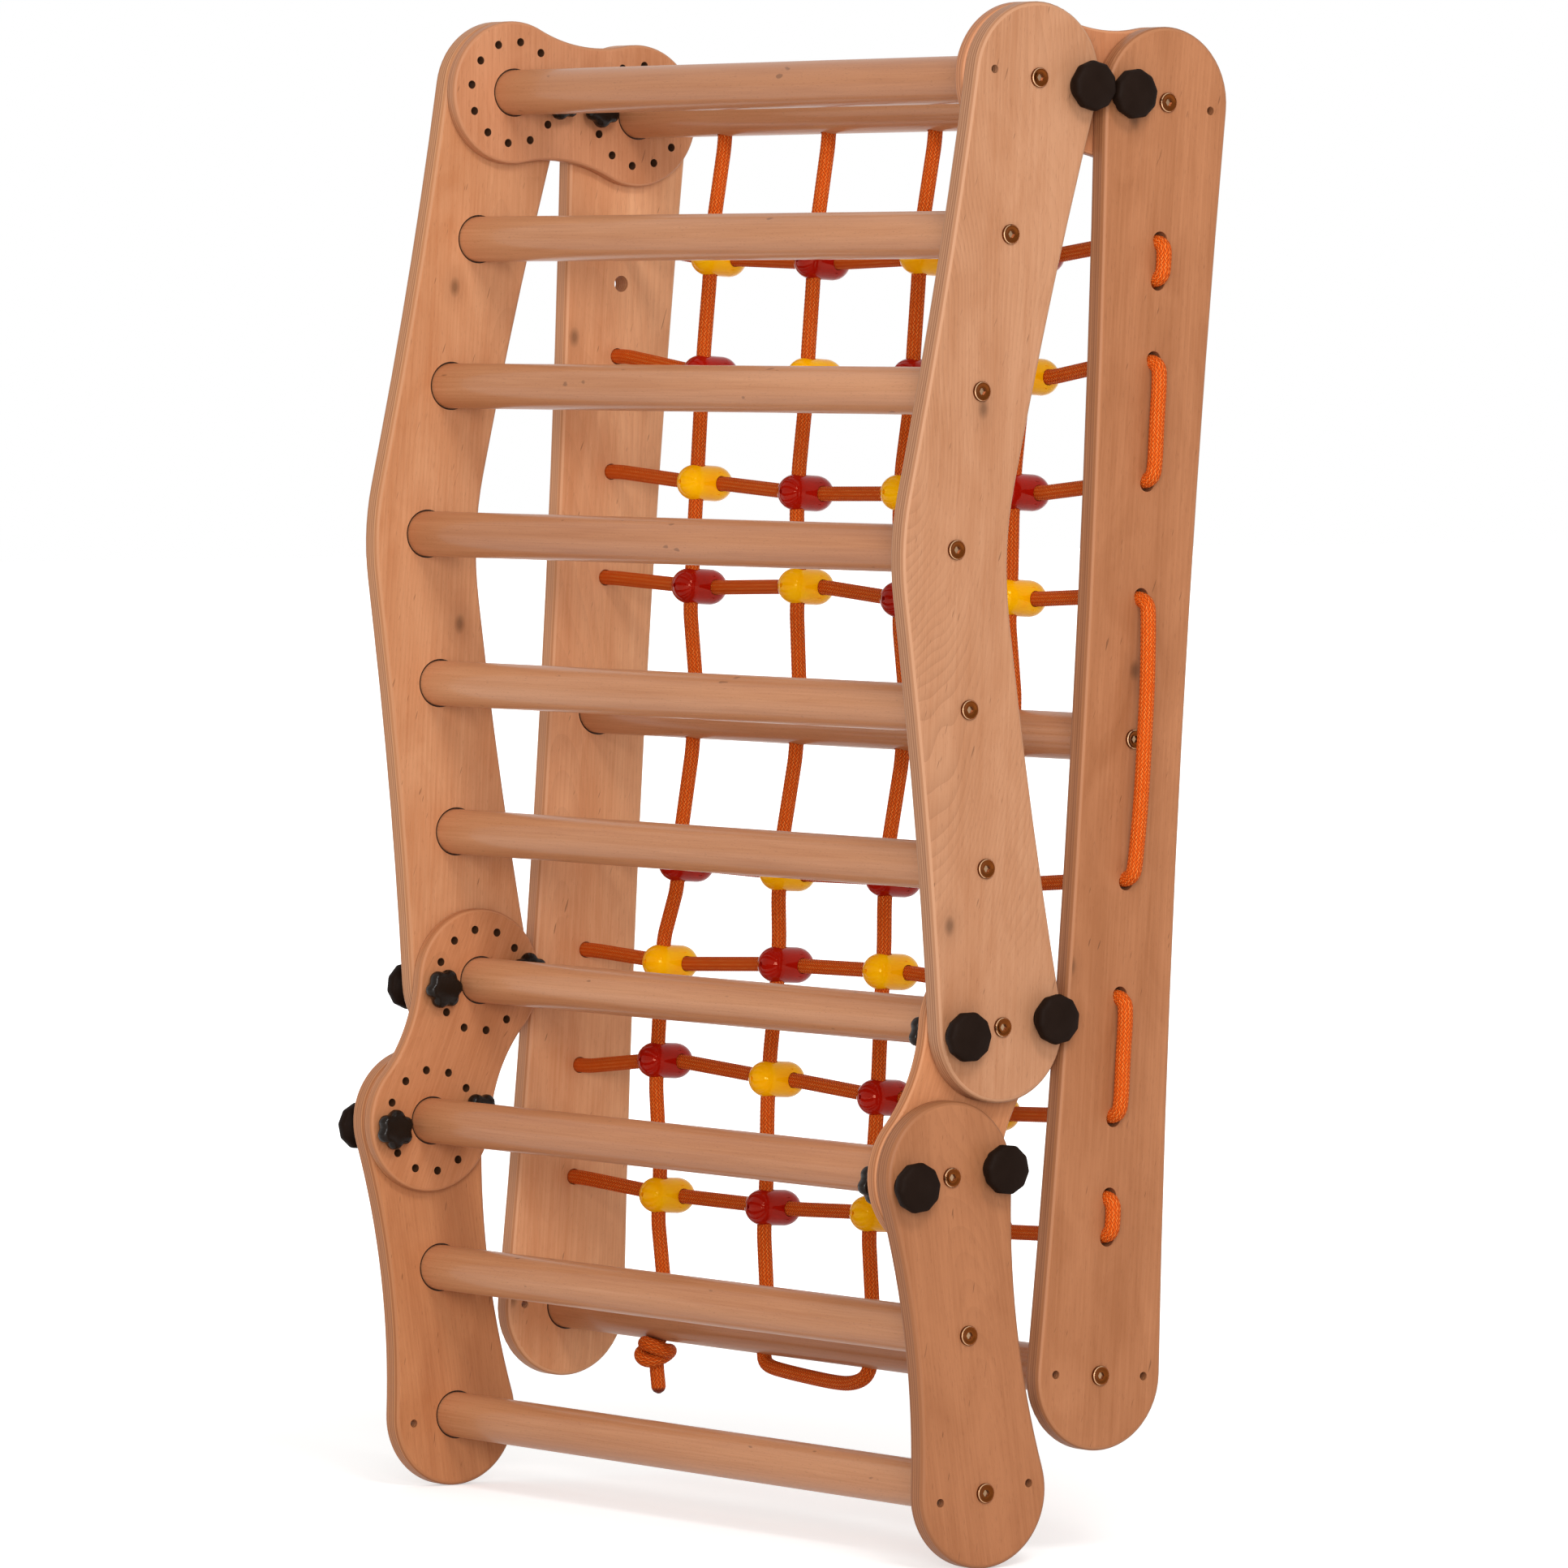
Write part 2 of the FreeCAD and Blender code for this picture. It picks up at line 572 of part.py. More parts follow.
insert_outer = add_cylinder("insert_outer", "Sizes.insert_diameter / 2", "Sizes.insert_length", Placement())
insert_bore = add_cylinder("insert_bore", "Sizes.bolt_diameter / 2 + Sizes.insert_clearance",
                           "Sizes.insert_length", Placement())
insert = doc.addObject("Part::Cut", "insert")
insert.Base = insert_outer
insert.Tool = insert_bore


# Lock knobs: a turned body with finger flutes, its face along +Z
def make_knob(name, prefix, profile):
    """Revolves a half profile, then cuts the flutes round it."""
    body = doc.addObject("PartDesign::Body", name)
    body.Label = name
    turn_profile(body, profile)
    radius = size(prefix + "_diameter") / 2
    flute = add_sketch(body, name + "_flute")
    count = int(size(prefix + "_flute_count"))
    reach = radius + size(prefix + "_flute_radius") - size(prefix + "_flute_depth")
    spot = on_circle((0, 0), 180 / count, reach)
    add_circles(flute, [spot], prefix + "_flute_radius", " * 2")
    cut = body.newObject("PartDesign::Pocket", name + "_flute_cut")
    cut.Profile = flute
    cut.Reversed = True
    cut.setExpression("Length", "Sizes.%s_height + Sizes.cut_overrun" % prefix)
    pattern = body.newObject("PartDesign::PolarPattern", name + "_flutes")
    pattern.Originals = [cut]
    pattern.Axis = (flute, ["N_Axis"])
    pattern.Angle = 360
    pattern.Occurrences = count
    body.Tip = pattern
    doc.recompute()
    return body


knob_radius = size("knob_diameter") / 2
knob_round = size("knob_edge_round")
knob_face = size("knob_height") - size("knob_crown")
outer_profile = [(0, 0), (size("knob_hub_diameter") / 2, 0),
                 (size("knob_hub_diameter") / 2, size("knob_hub_height")),
                 (knob_radius, size("knob_hub_height"), knob_round / 2),
                 (knob_radius, knob_face, knob_round), (0, size("knob_height"))]
outer_knob = make_knob("outer_knob", "knob", outer_profile)

star_radius = size("star_diameter") / 2
star_round = size("star_edge_round")
star_face = size("star_height") - size("star_boss_height")
star_profile = [(0, 0), (size("star_hub_diameter") / 2, 0),
                (size("star_hub_diameter") / 2, size("star_hub_height")),
                (star_radius, size("star_hub_height"), star_round / 2),
                (star_radius, star_face, star_round),
                (size("star_boss_diameter") / 2, star_face),
                (size("star_boss_diameter") / 2, size("star_height"), size("star_boss_height") / 2),
                (0, size("star_height"))]
star_knob = make_knob("star_knob", "star", star_profile)
outer_stud = add_cylinder("outer_stud", "Sizes.stud_diameter / 2",
                          "Sizes.panel_thickness - Sizes.stud_end_gap", Placement())
star_stud = add_cylinder("star_stud", "Sizes.stud_diameter / 2",
                         "Sizes.plate_thickness - Sizes.stud_end_gap", Placement())

# Beads: a capsule from front to back, with one rope hole across and one upright
bead_radius = size("bead_diameter") / 2
bead_straight = size("bead_length") - size("bead_diameter")
bead_barrel = add_cylinder("bead_barrel", "Sizes.bead_diameter / 2", "Sizes.bead_length - Sizes.bead_diameter",
                           Placement(Vector(0, 0, -bead_straight / 2), Rotation()))
bead_ends = []
for end_name, sense in (("front", -1), ("rear", 1)):
    ball = doc.addObject("Part::Sphere", "bead_end_" + end_name)
    ball.setExpression("Radius", "Sizes.bead_diameter / 2")
    ball.Placement = Placement(Vector(0, 0, sense * bead_straight / 2), Rotation())
    bead_ends.append(ball)
bead_stock = doc.addObject("Part::MultiFuse", "bead_stock")
bead_stock.Shapes = [bead_barrel] + bead_ends
bead_through = "Sizes.bead_diameter + 2 * Sizes.cut_overrun"
bead_hole_start = bead_radius + size("cut_overrun")
bead_across = add_cylinder("bead_hole_across", "Sizes.bead_hole_diameter / 2", bead_through, Placement(
    Vector(-bead_hole_start, 0, size("crossing_offset")), Rotation(Vector(0, 1, 0), 90)))
bead_upright = add_cylinder("bead_hole_upright", "Sizes.bead_hole_diameter / 2", bead_through, Placement(
    Vector(0, bead_hole_start, -size("crossing_offset")), Rotation(Vector(1, 0, 0), 90)))
bead_screw = add_cylinder("bead_screw_recess", "Sizes.bead_screw_diameter / 2",
                          "Sizes.bead_screw_depth + Sizes.cut_overrun",
                          Placement(Vector(0, 0, -size("bead_length") / 2 - size("cut_overrun")), Rotation()))
# Small slots above and below the cross rope's hole, on both sides
slot_surface = math.sqrt(bead_radius**2 - size("bead_slot_offset") ** 2)
bead_slots = []
for number, (sense, rise) in enumerate(((-1, -1), (-1, 1), (1, -1), (1, 1)), start=1):
    slot = doc.addObject("Part::Box", "bead_slot_%d" % number)
    slot.setExpression("Length", "2 * Sizes.bead_slot_depth")
    slot.setExpression("Width", "Sizes.bead_slot_height")
    slot.setExpression("Height", "Sizes.bead_slot_length")
    corner_x = sense * slot_surface - size("bead_slot_depth")
    corner_y = rise * size("bead_slot_offset") - size("bead_slot_height") / 2
    corner_z = size("crossing_offset") - size("bead_slot_length")
    slot.Placement = Placement(Vector(corner_x, corner_y, corner_z), Rotation())
    bead_slots.append(slot)
bead_cutter = doc.addObject("Part::Compound", "bead_cutter")
bead_cutter.Links = [bead_across, bead_upright, bead_screw] + bead_slots
bead = doc.addObject("Part::Cut", "bead")
bead.Base = bead_stock
bead.Tool = bead_cutter
doc.recompute()


# Placed copies of the patterns above
def placed(shape, placement):
    copy = shape.copy()
    copy.Placement = placement.multiply(copy.Placement)
    return copy


def group(name, shapes):
    item = doc.addObject("Part::Feature", name)
    item.Label = name
    item.Shape = Part.makeCompound(shapes)
    return item


def bolt_shapes(pattern, points):
    return [placed(pattern.Shape, side_placement(side, half_width, point))
            for point in points for side_name, side in SIDES]


def insert_shapes(points, end):
    """Inserts flush with the rung ends."""
    start = end - size("insert_length")
    return [placed(insert.Shape, side_placement(side, start, point))
            for point in points for side_name, side in SIDES]


lower_own = [place["lower_1"], place["lower_2"]]
rear_own = [place["rear_middle"], place["rear_foot"]]
mid_pivots = [place["middle_upper"], place["middle_lower"]]
top_front = [place["top_front"]]
top_rear = [place["top_rear"]]
fasteners = [
    group("upper_rung_bolts", bolt_shapes(ladder_bolt, upper_own)),
    group("upper_rung_inserts", insert_shapes(upper_own, seat_x)),
    group("lower_rung_bolts", bolt_shapes(ladder_bolt, lower_own)),
    group("lower_rung_inserts", insert_shapes(lower_own, seat_x)),
    group("rear_ladder_bolts", bolt_shapes(ladder_bolt, rear_own) + bolt_shapes(pivot_bolt, top_rear)),
    group("rear_ladder_inserts", insert_shapes(rear_own, seat_x) + insert_shapes(top_rear, turning_x)),
    group("top_front_pivot_fixings",
          bolt_shapes(pivot_bolt, top_front) + insert_shapes(top_front, pivot_seat_x)),
    group("mid_link_pivot_fixings",
          bolt_shapes(pivot_bolt, mid_pivots) + insert_shapes(mid_pivots, pivot_seat_x)),
]

# Lock places: title, pivot, angle of the lock hole in the side view
top_angle = -size("top_link_drop")
low_angle = -lower_lean
LOCKS = [
    ("top_front", "top_front", top_angle),
    ("top_rear", "top_rear", top_angle + 180),
    ("mid_upper_front", "middle_upper", low_angle + 180),
    ("mid_upper_rear", "middle_upper", low_angle),
    ("mid_lower_front", "middle_lower", low_angle + 180),
    ("mid_lower_rear", "middle_lower", low_angle),
]
knobs = []
for title, pivot, angle in LOCKS:
    spot = on_circle(place[pivot], angle, size("index_radius"))
    for side_name, side in SIDES:
        outwards = side_placement(side, half_width, spot)
        inwards = side_placement(-side, -plate_inner_x, spot)
        depth = size("panel_thickness") - size("stud_end_gap")
        stud = placed(outer_stud.Shape, outwards.multiply(Placement(Vector(0, 0, -depth), Rotation())))
        knobs.append(group("outer_knob_%s_%s" % (title, side_name), [placed(outer_knob.Shape, outwards), stud]))
        depth = size("plate_thickness") - size("stud_end_gap")
        stud = placed(star_stud.Shape, inwards.multiply(Placement(Vector(0, 0, -depth), Rotation())))
        knobs.append(group("star_knob_%s_%s" % (title, side_name), [placed(star_knob.Shape, inwards), stud]))


# The net lies along the rear ladder: X, distance down from the top pivot, distance to the rear
rear_down = down(size("rear_lean"))
rear_normal = (-rear_down[1], rear_down[0])


def net_point(x, along, aside):
    y = place["top_rear"][0] + rear_down[0] * along + rear_normal[0] * aside
    z = place["top_rear"][1] + rear_down[1] * along + rear_normal[1] * aside
    return Vector(x, y, z)


# How far each crossing hangs below its rope holes, as shares of rope_drop, row by row
drop_shares = [(0.8, 1.0, 0.8, 0.7), (0.9, 1.0, 1.0, 0.9), (0.5, 0.9, 0.8, 0.6), (0.3, 0.1, 0.6, 0.3),
               (0.7, 0.8, 0.7, 0.5), (0.3, -0.1, -0.2, 0.1), (-0.7, -0.3, 0.1, 0.3), (0.4, 0.4, 0.1, 0.3)]
# How far each crossing lies from its column, as shares of column_spacing, row by row
drift_shares = [(0.02, 0.02, 0.01, 0), (0, 0.01, 0, 0.01), (0, -0.02, -0.05, -0.02), (0, 0.03, 0, 0),
                (0.02, 0, 0, 0), (-0.09, 0.03, 0.02, 0), (-0.09, 0, 0.03, 0.01), (0, 0.03, 0.02, 0)]
ROW_HOLES = (0, 2, 3, 4, 5, 6, 7, 9)
YELLOW_FIRST = (True, False, True, False, False, True, False, True)
row_stations = [hole_stations[index] for index in ROW_HOLES]
crossings = []
for station, drops, drifts in zip(row_stations, drop_shares, drift_shares):
    crossings.append([(x + drift * size("column_spacing"), station + drop * size("rope_drop"))
                      for x, drop, drift in zip(column_xs, drops, drifts)])

bead_turn = Rotation(Vector(1, 0, 0), Vector(0, rear_down[0], rear_down[1]),
                     Vector(0, rear_normal[0], rear_normal[1]), "XYZ")
bead_shapes = {"yellow": [], "red": []}
for yellow_first, row in zip(YELLOW_FIRST, crossings):
    for number, (x, along) in enumerate(row):
        colour = "yellow" if (number % 2 == 0) == yellow_first else "red"
        middle_point = net_point(x, along, -size("net_set_forward"))
        bead_shapes[colour].append(placed(bead.Shape, Placement(middle_point, bead_turn)))
beads = [group("%s_rope_beads" % colour, bead_shapes[colour]) for colour in ("yellow", "red")]


def rounded_path(route):
    """Straight runs joined by tangent arcs. Each route entry is a point and its radius or None."""
    points = [entry[0] for entry in route]
    edges = []
    last = points[0]
    radii = []
    for before, (point, wanted), after in zip(points, route[1:], points[2:]):
        incoming = point.sub(before)
        outgoing = after.sub(point)
        half_turn = incoming.getAngle(outgoing) / 2
        if half_turn < straight_turn:
            continue
        room = arc_run_share * min(incoming.Length, outgoing.Length)
        radius = room / math.tan(half_turn)
        if wanted:
            radius = min(radius, wanted)
        back_off = radius * math.tan(half_turn)
        incoming.normalize()
        outgoing.normalize()
        start = point.sub(incoming * back_off)
        finish = point.add(outgoing * back_off)
        inwards = outgoing.sub(incoming).normalize()
        centre = point.add(inwards * (radius / math.cos(half_turn)))
        bulge = centre.sub(inwards * radius)
        edges.append(Part.LineSegment(last, start).toShape())
        edges.append(Part.Arc(start, bulge, finish).toShape())
        radii.append(radius)
        last = finish
    edges.append(Part.LineSegment(last, points[-1]).toShape())
    return Part.Wire(edges), radii


def make_rope(name, route, knots):
    """A tube along the route, with a round knot at each end."""
    path, radii = rounded_path(route)
    start, second = route[0][0], route[1][0]
    ring = Part.Wire([Part.Circle(start, second.sub(start), rope_radius).toShape()])
    tube = path.makePipeShell([ring], True, True)
    wanted = math.pi * rope_radius**2 * path.Length
    print("%s: length %.0f, tightest arc %.1f, widest %.0f, volume %.4f of section times length"
          % (name, path.Length, min(radii), max(radii), tube.Volume / wanted))
    for centre in knots:
        tube = tube.fuse(Part.makeSphere(size("knot_diameter") / 2, centre))
    item = doc.addObject("Part::Feature", name)
    item.Label = name
    item.Shape = tube.removeSplitter()
    return item


# The upright rope climbs column 1, crosses to 2, drops, loops to 3, climbs and drops down 4
upright_aside = -size("net_set_forward") - size("crossing_offset")
across_aside = -size("net_set_forward") + size("crossing_offset")
top_station = -rung_radius - rope_radius - size("rope_standoff")
rung_guide = size("rung_guide")
bead_guide = size("bead_guide")
bend = size("rope_bend_radius")
half_length = size("rear_half_length")


def column_route(column):
    """Points of one upright, from the top rung down to the bottom rung."""
    x = column_xs[column]
    points = [(net_point(x, rung_guide, 0), None)]
    for number, row in enumerate(crossings):
        if number == len(crossings) // 2:
            points.append((net_point(x, half_length - rung_guide, 0), None))
            points.append((net_point(x, half_length + rung_guide, 0), None))
        spot_x, along = row[column]
        points.append((net_point(spot_x, along - bead_guide, upright_aside), None))
        points.append((net_point(spot_x, along + bead_guide, upright_aside), None))
    points.append((net_point(x, rear_length - rung_guide, 0), None))
    return points


def turn_over(columns, station, radius):
    """Leads the rope from one column to the next, beyond the rungs."""
    return [(net_point(column_xs[column], station, 0), radius) for column in columns]


knot_station = rear_length + rung_radius + size("knot_gap") + size("knot_diameter") / 2
tail_station = knot_station + size("tail_length")
loop_station = rear_length + rung_radius + size("rope_loop_drop")
upright_route = [(net_point(column_xs[0], tail_station, 0), None)]
upright_route += list(reversed(column_route(0)))
upright_route += turn_over((0, 1), top_station, bend)
upright_route += column_route(1)
upright_route += turn_over((1, 2), loop_station, size("rope_loop_radius"))
upright_route += list(reversed(column_route(2)))
upright_route += turn_over((2, 3), top_station, bend)
upright_route += column_route(3)
upright_route += [(net_point(column_xs[3], tail_station, 0), None)]
upright_knots = [net_point(column_xs[0], knot_station, 0), net_point(column_xs[3], knot_station, 0)]
upright_rope = make_rope("upright_rope", upright_route, upright_knots)

# The cross rope is stitched through both rear panels, row by row, and passes over the
# middle rung's bolt
stitch_x = half_width + rope_radius + size("rope_standoff")
over_bolt_x = stitch_x + size("bolt_head_height")
inner_guide_x = panel_inner_x - size("hole_guide")
knot_x = panel_inner_x - size("knot_gap") - size("knot_diameter") / 2
anchor_top = hole_stations[1]
anchor_bottom = hole_stations[8]
cross_route = [(net_point(knot_x, anchor_top, 0), None), (net_point(stitch_x, anchor_top, 0), bend)]
for number, row in enumerate(crossings):
    side = 1 if number % 2 == 0 else -1
    station = row_stations[number]
    if number == len(crossings) // 2:
        for shift in (-size("bolt_head_diameter"), size("bolt_head_diameter")):
            cross_route.append((net_point(side * over_bolt_x, half_length + shift, 0), None))
    cross_route.append((net_point(side * stitch_x, station, 0), bend))
    cross_route.append((net_point(side * inner_guide_x, station, 0), None))
    for x, along in sorted(row, key=lambda spot: -side * spot[0]):
        cross_route.append((net_point(x + side * bead_guide, along, across_aside), None))
        cross_route.append((net_point(x - side * bead_guide, along, across_aside), None))
    cross_route.append((net_point(-side * inner_guide_x, station, 0), None))
    cross_route.append((net_point(-side * stitch_x, station, 0), bend))
cross_route += [(net_point(stitch_x, anchor_bottom, 0), bend), (net_point(knot_x, anchor_bottom, 0), None)]
cross_knots = [net_point(knot_x, anchor_top, 0), net_point(knot_x, anchor_bottom, 0)]
cross_rope = make_rope("cross_rope", cross_route, cross_knots)

# Every object is checked before anything is written
doc.recompute()
for item in doc.Objects:
    if "Invalid" in item.State or "Error" in item.State:
        raise RuntimeError("%s failed: %s" % (item.Label, item.State))
nodes = list(boards.values()) + rungs + fasteners + knobs + beads + [upright_rope, cross_rope]
for item in nodes:
    if item.Shape.isNull() or not item.Shape.isValid():
        raise RuntimeError("%s has no valid shape" % item.Label)

os.makedirs("parts", exist_ok=True)
for item in nodes:
    item.Shape.exportStep("parts/%s.step" % item.Label)
for name in sorted(place):
    print("%s: y %.4f, z %.4f" % (name, place[name][0], place[name][1]))
print("%d nodes" % len(nodes))
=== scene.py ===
from collections import namedtuple
import json
import math

import bpy
import numpy as np
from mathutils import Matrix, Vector


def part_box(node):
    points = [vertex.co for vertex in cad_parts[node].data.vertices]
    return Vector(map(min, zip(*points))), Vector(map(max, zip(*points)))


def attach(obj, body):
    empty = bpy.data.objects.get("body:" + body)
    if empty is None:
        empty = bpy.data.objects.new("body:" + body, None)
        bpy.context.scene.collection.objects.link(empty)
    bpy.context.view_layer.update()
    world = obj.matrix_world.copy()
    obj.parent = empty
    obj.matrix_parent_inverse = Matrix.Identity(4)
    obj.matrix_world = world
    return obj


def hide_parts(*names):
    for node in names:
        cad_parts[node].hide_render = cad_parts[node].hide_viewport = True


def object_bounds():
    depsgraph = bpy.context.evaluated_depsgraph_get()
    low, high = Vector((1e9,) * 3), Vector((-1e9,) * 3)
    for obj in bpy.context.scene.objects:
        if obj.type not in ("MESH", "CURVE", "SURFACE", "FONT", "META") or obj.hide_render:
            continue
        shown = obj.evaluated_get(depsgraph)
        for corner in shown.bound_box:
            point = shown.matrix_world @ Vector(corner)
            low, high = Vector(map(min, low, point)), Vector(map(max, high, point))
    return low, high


# Looks of the folding climbing triangle: plywood panels, beech rungs, lock knobs, bronzed
# bolts and the braided net with its beads. Everything is in metres, in the part's own frame.

MM = 0.001
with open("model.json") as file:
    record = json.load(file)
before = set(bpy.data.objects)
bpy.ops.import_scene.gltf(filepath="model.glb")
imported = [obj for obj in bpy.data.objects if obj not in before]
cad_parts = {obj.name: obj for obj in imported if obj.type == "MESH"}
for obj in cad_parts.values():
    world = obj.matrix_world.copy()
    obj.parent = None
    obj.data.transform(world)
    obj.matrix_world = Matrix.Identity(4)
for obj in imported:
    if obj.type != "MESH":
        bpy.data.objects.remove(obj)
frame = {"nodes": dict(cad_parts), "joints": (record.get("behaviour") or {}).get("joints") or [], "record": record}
cad_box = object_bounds()
nodes = frame["nodes"]

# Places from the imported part
hinges = {joint["name"]: Vector(joint["pos_m"]) for joint in frame["joints"]}
mounts = {mount["name"]: mount for mount in frame["record"]["mounts"]}
HALF_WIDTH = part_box("rear_panel_right")[1].x
PANEL_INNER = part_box("rear_panel_right")[0].x
PLATE_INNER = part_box("top_link_plate_right")[0].x
top_rear = hinges["top_rear_hinge"]
rear_foot = Vector(mounts["rear_foot_holes_right"]["pos_m"])
rear_foot.x = 0
rear_length = (rear_foot - top_rear).length
rear_down = (rear_foot - top_rear).normalized()
rear_normal = Vector((0, -rear_down.z, rear_down.y))

# Sizes that the part's source has as well
RUNG_RADIUS = 18 * MM
LOCK_RADIUS = 40.7 * MM
LOCK_STEP = math.radians(30)
LOCK_HOLE = 3.32 * MM
BOLT_DISH = 2.0 * MM
BOLT_SOCKET = 0.5 * MM


def add_object(name, data):
    """A new object with this data, in the scene."""
    item = bpy.data.objects.new(name, data)
    bpy.context.scene.collection.objects.link(item)
    return item


# Camera at the photograph's viewing angle
CAMERA_PLACE = (7.3046, -4.9601, 0.9374)
CAMERA_TURN = (87.641, -0.057, 55.787)
CAMERA_LENS = 261.08
CAMERA_SENSOR = 36
CAMERA_REACH = 200
camera_data = bpy.data.cameras.new("camera")
camera_data.lens = CAMERA_LENS
camera_data.sensor_width = CAMERA_SENSOR
camera_data.clip_end = CAMERA_REACH
camera = add_object("camera", camera_data)
camera.location = CAMERA_PLACE
camera.rotation_euler = [math.radians(angle) for angle in CAMERA_TURN]
bpy.context.scene.camera = camera
bpy.context.scene.view_settings.view_transform = "Standard"


class Nodes:
    """Short calls that add shader nodes to a tree. An input given as a socket is linked."""

    def __init__(self, tree):
        self.tree = tree

    def add(self, kind, inputs=None, **settings):
        item = self.tree.nodes.new("ShaderNode" + kind)
        for key, value in settings.items():
            setattr(item, key, value)
        for key, value in (inputs or {}).items():
            self.set(item, key, value)
        return item

    def set(self, item, key, value):
        if isinstance(value, bpy.types.NodeSocket):
            self.tree.links.new(value, item.inputs[key])
        else:
            item.inputs[key].default_value = value

    def math(self, operation, first, second=0.0, third=0.0):
        values = {0: first, 1: second, 2: third}
        return self.add("Math", values, operation=operation).outputs[0]

    def weighted(self, values, weights):
        """Sum of the values, each times its weight."""
        total = 0.0
        for value, weight in reversed(list(zip(values, weights))):
            total = self.math("MULTIPLY_ADD", value, weight, total)
        return total

    def wave(self, value):
        """A sine with one half wave to each whole number."""
        return self.math("SINE", self.math("MULTIPLY", value, math.pi))

    def range(self, value, low, high, new_low=0.0, new_high=1.0, **settings):
        values = {0: value, 1: low, 2: high, 3: new_low, 4: new_high}
        return self.add("MapRange", values, **settings).outputs[0]

    def split(self, vector):
        return self.add("SeparateXYZ", {0: vector}).outputs

    def length(self, vector):
        return self.add("VectorMath", {0: vector}, operation="LENGTH").outputs["Value"]

    def distance(self, vector, place):
        values = {0: vector, 1: place}
        return self.add("VectorMath", values, operation="DISTANCE").outputs["Value"]

    def in_view(self):
        """1 for the camera and for what gloss and glass show, 0 for the light on the object."""
        path = self.add("LightPath").outputs
        seen = self.math("MAXIMUM", path["Is Camera Ray"], path["Is Glossy Ray"])
        return self.math("MAXIMUM", seen, path["Is Transmission Ray"])


def shade(colour, factor):
    return [channel * factor for channel in colour]


class Shader(Nodes):
    """A material with one principled surface, laid out in the part's own coordinates."""

    def __init__(self, name):
        self.material = bpy.data.materials.new(name)
        self.material.use_nodes = True
        super().__init__(self.material.node_tree)
        self.surface = self.tree.nodes["Principled BSDF"]
        self.coordinates = self.add("TexCoord").outputs
        self.place = self.coordinates["Object"]

    def finish(self, **inputs):
        for key, value in inputs.items():
            self.set(self.surface, key.replace("_", " "), value)
        return self.material

    def noise(self, place, scale, detail, roughness=0.5, distortion=0.0):
        values = {"Vector": place, "Scale": scale, "Detail": detail, "Roughness": roughness,
                  "Distortion": distortion}
        return self.add("TexNoise", values).outputs["Fac"]

    def scaled(self, place, scale, turn=(0, 0, 0), shift=(0, 0, 0)):
        values = {"Vector": place, "Scale": scale, "Rotation": turn, "Location": shift}
        return self.add("Mapping", values).outputs[0]

    def grain(self, place, cycles, *noise, shift=(0, 0, 0)):
        """Noise with its own number of cycles per metre along each axis."""
        return self.noise(self.scaled(place, cycles, shift=shift), 1.0, *noise)

    def mix(self, factor, first, second):
        item = self.add("Mix", {0: factor}, data_type="RGBA")
        for key, value in ((6, first), (7, second)):
            if not isinstance(value, bpy.types.NodeSocket):
                value = (*value, 1.0)
            self.set(item, key, value)
        return item.outputs[2]

    def mask(self, value, mark):
        """From 0 where a mark of this kind starts to 1 where it is full."""
        return self.range(value, mark.start, mark.full)

    def stain(self, colour, mask, mark, dark):
        """The colour with marks of this kind, toned after the dark grain, where the mask is on."""
        cover = self.math("MULTIPLY", mask, mark.cover)
        return self.mix(cover, colour, shade(dark, mark.tone))

    def bump(self, height, distance, strength=1.0):
        values = {"Height": height, "Distance": distance, "Strength": strength}
        return self.add("Bump", values).outputs[0]


# Grain noises of veneer and rungs: cycles per metre, detail, roughness and distortion
VENEER_BROAD = ((2, 16, 1.2), 2.0)
VENEER_CLOUD = ((1, 30, 11), 3.0, 0.6, 0.8)
VENEER_STREAK = ((60, 420, 9), 3.0, 0.6)
VENEER_FLECK = ((400, 1100, 150), 1.0)
VENEER_MINERAL = ((90, 430, 55), 1.0)
EDGE_DRIFT = ((500, 12, 12), 2.0)
LINE_BEND = ((0, 11, 14), 1.5, 0.4)
LINE_PATCH = ((0, 9, 16), 1.0)
RUNG_BROAD = ((1.5, 14, 14), 2.0)
RUNG_LINES = ((2.2, 90, 90), 3.0, 0.6, 0.3)
RUNG_STREAK = ((14, 700, 700), 2.0)
RUNG_FLECK = ((240, 1500, 1500), 1.0)
RUNG_SPOT = ((45, 130, 130), 1.0)
# Dark marks: the values where they start and are full, how much they cover, and their tone
Mark = namedtuple("Mark", "start full cover tone")
GROWTH_LINES = Mark(0.36, 0.60, 1.0, 0.62)
FLECKS = Mark(0.62, 0.74, 0.24, 0.55)
MINERALS = Mark(0.735, 0.785, 0.55, 0.30)
KNOT_HALOS = Mark(0.11, 0.03, 0.22, 0.50)
KNOT_HEARTS = Mark(0.045, 0.012, 0.60, 0.22)
GLUE_LINES = Mark(0.12, 0.02, 0.26, 0.40)
RUNG_FLECKS = Mark(0.62, 0.73, 0.25, 0.50)
RUNG_SPOTS = Mark(0.76, 0.80, 0.55, 0.30)
# Weights of the noises in the wood's tone, and the tones between which it goes from dark to light
VENEER_WEIGHTS = (0.5, 0.5, 0.4)
VENEER_TONES = (0.54, 0.86)
EDGE_WEIGHTS = (0.45, 0.4, 0.3)
RUNG_WEIGHTS = (0.5, 0.4, 0.25)
RUNG_TONES = (0.42, 0.70)
# Growth lines of the veneer
LINE_SPACING = 3.6 * MM
LINE_SWAY = 22.0
LINE_SHARPNESS = 2.0
LINE_LEAST = 0.15
LINE_FLATNESS = 1000
PATCH_SHIFT = (3.1, 0, 0)
MINERAL_SLANT = 0.25
# Knots of the veneer: cells per metre across and along, and the share of cells without one
KNOT_CELLS = (8.0, 5.0)
KNOTLESS = 0.6
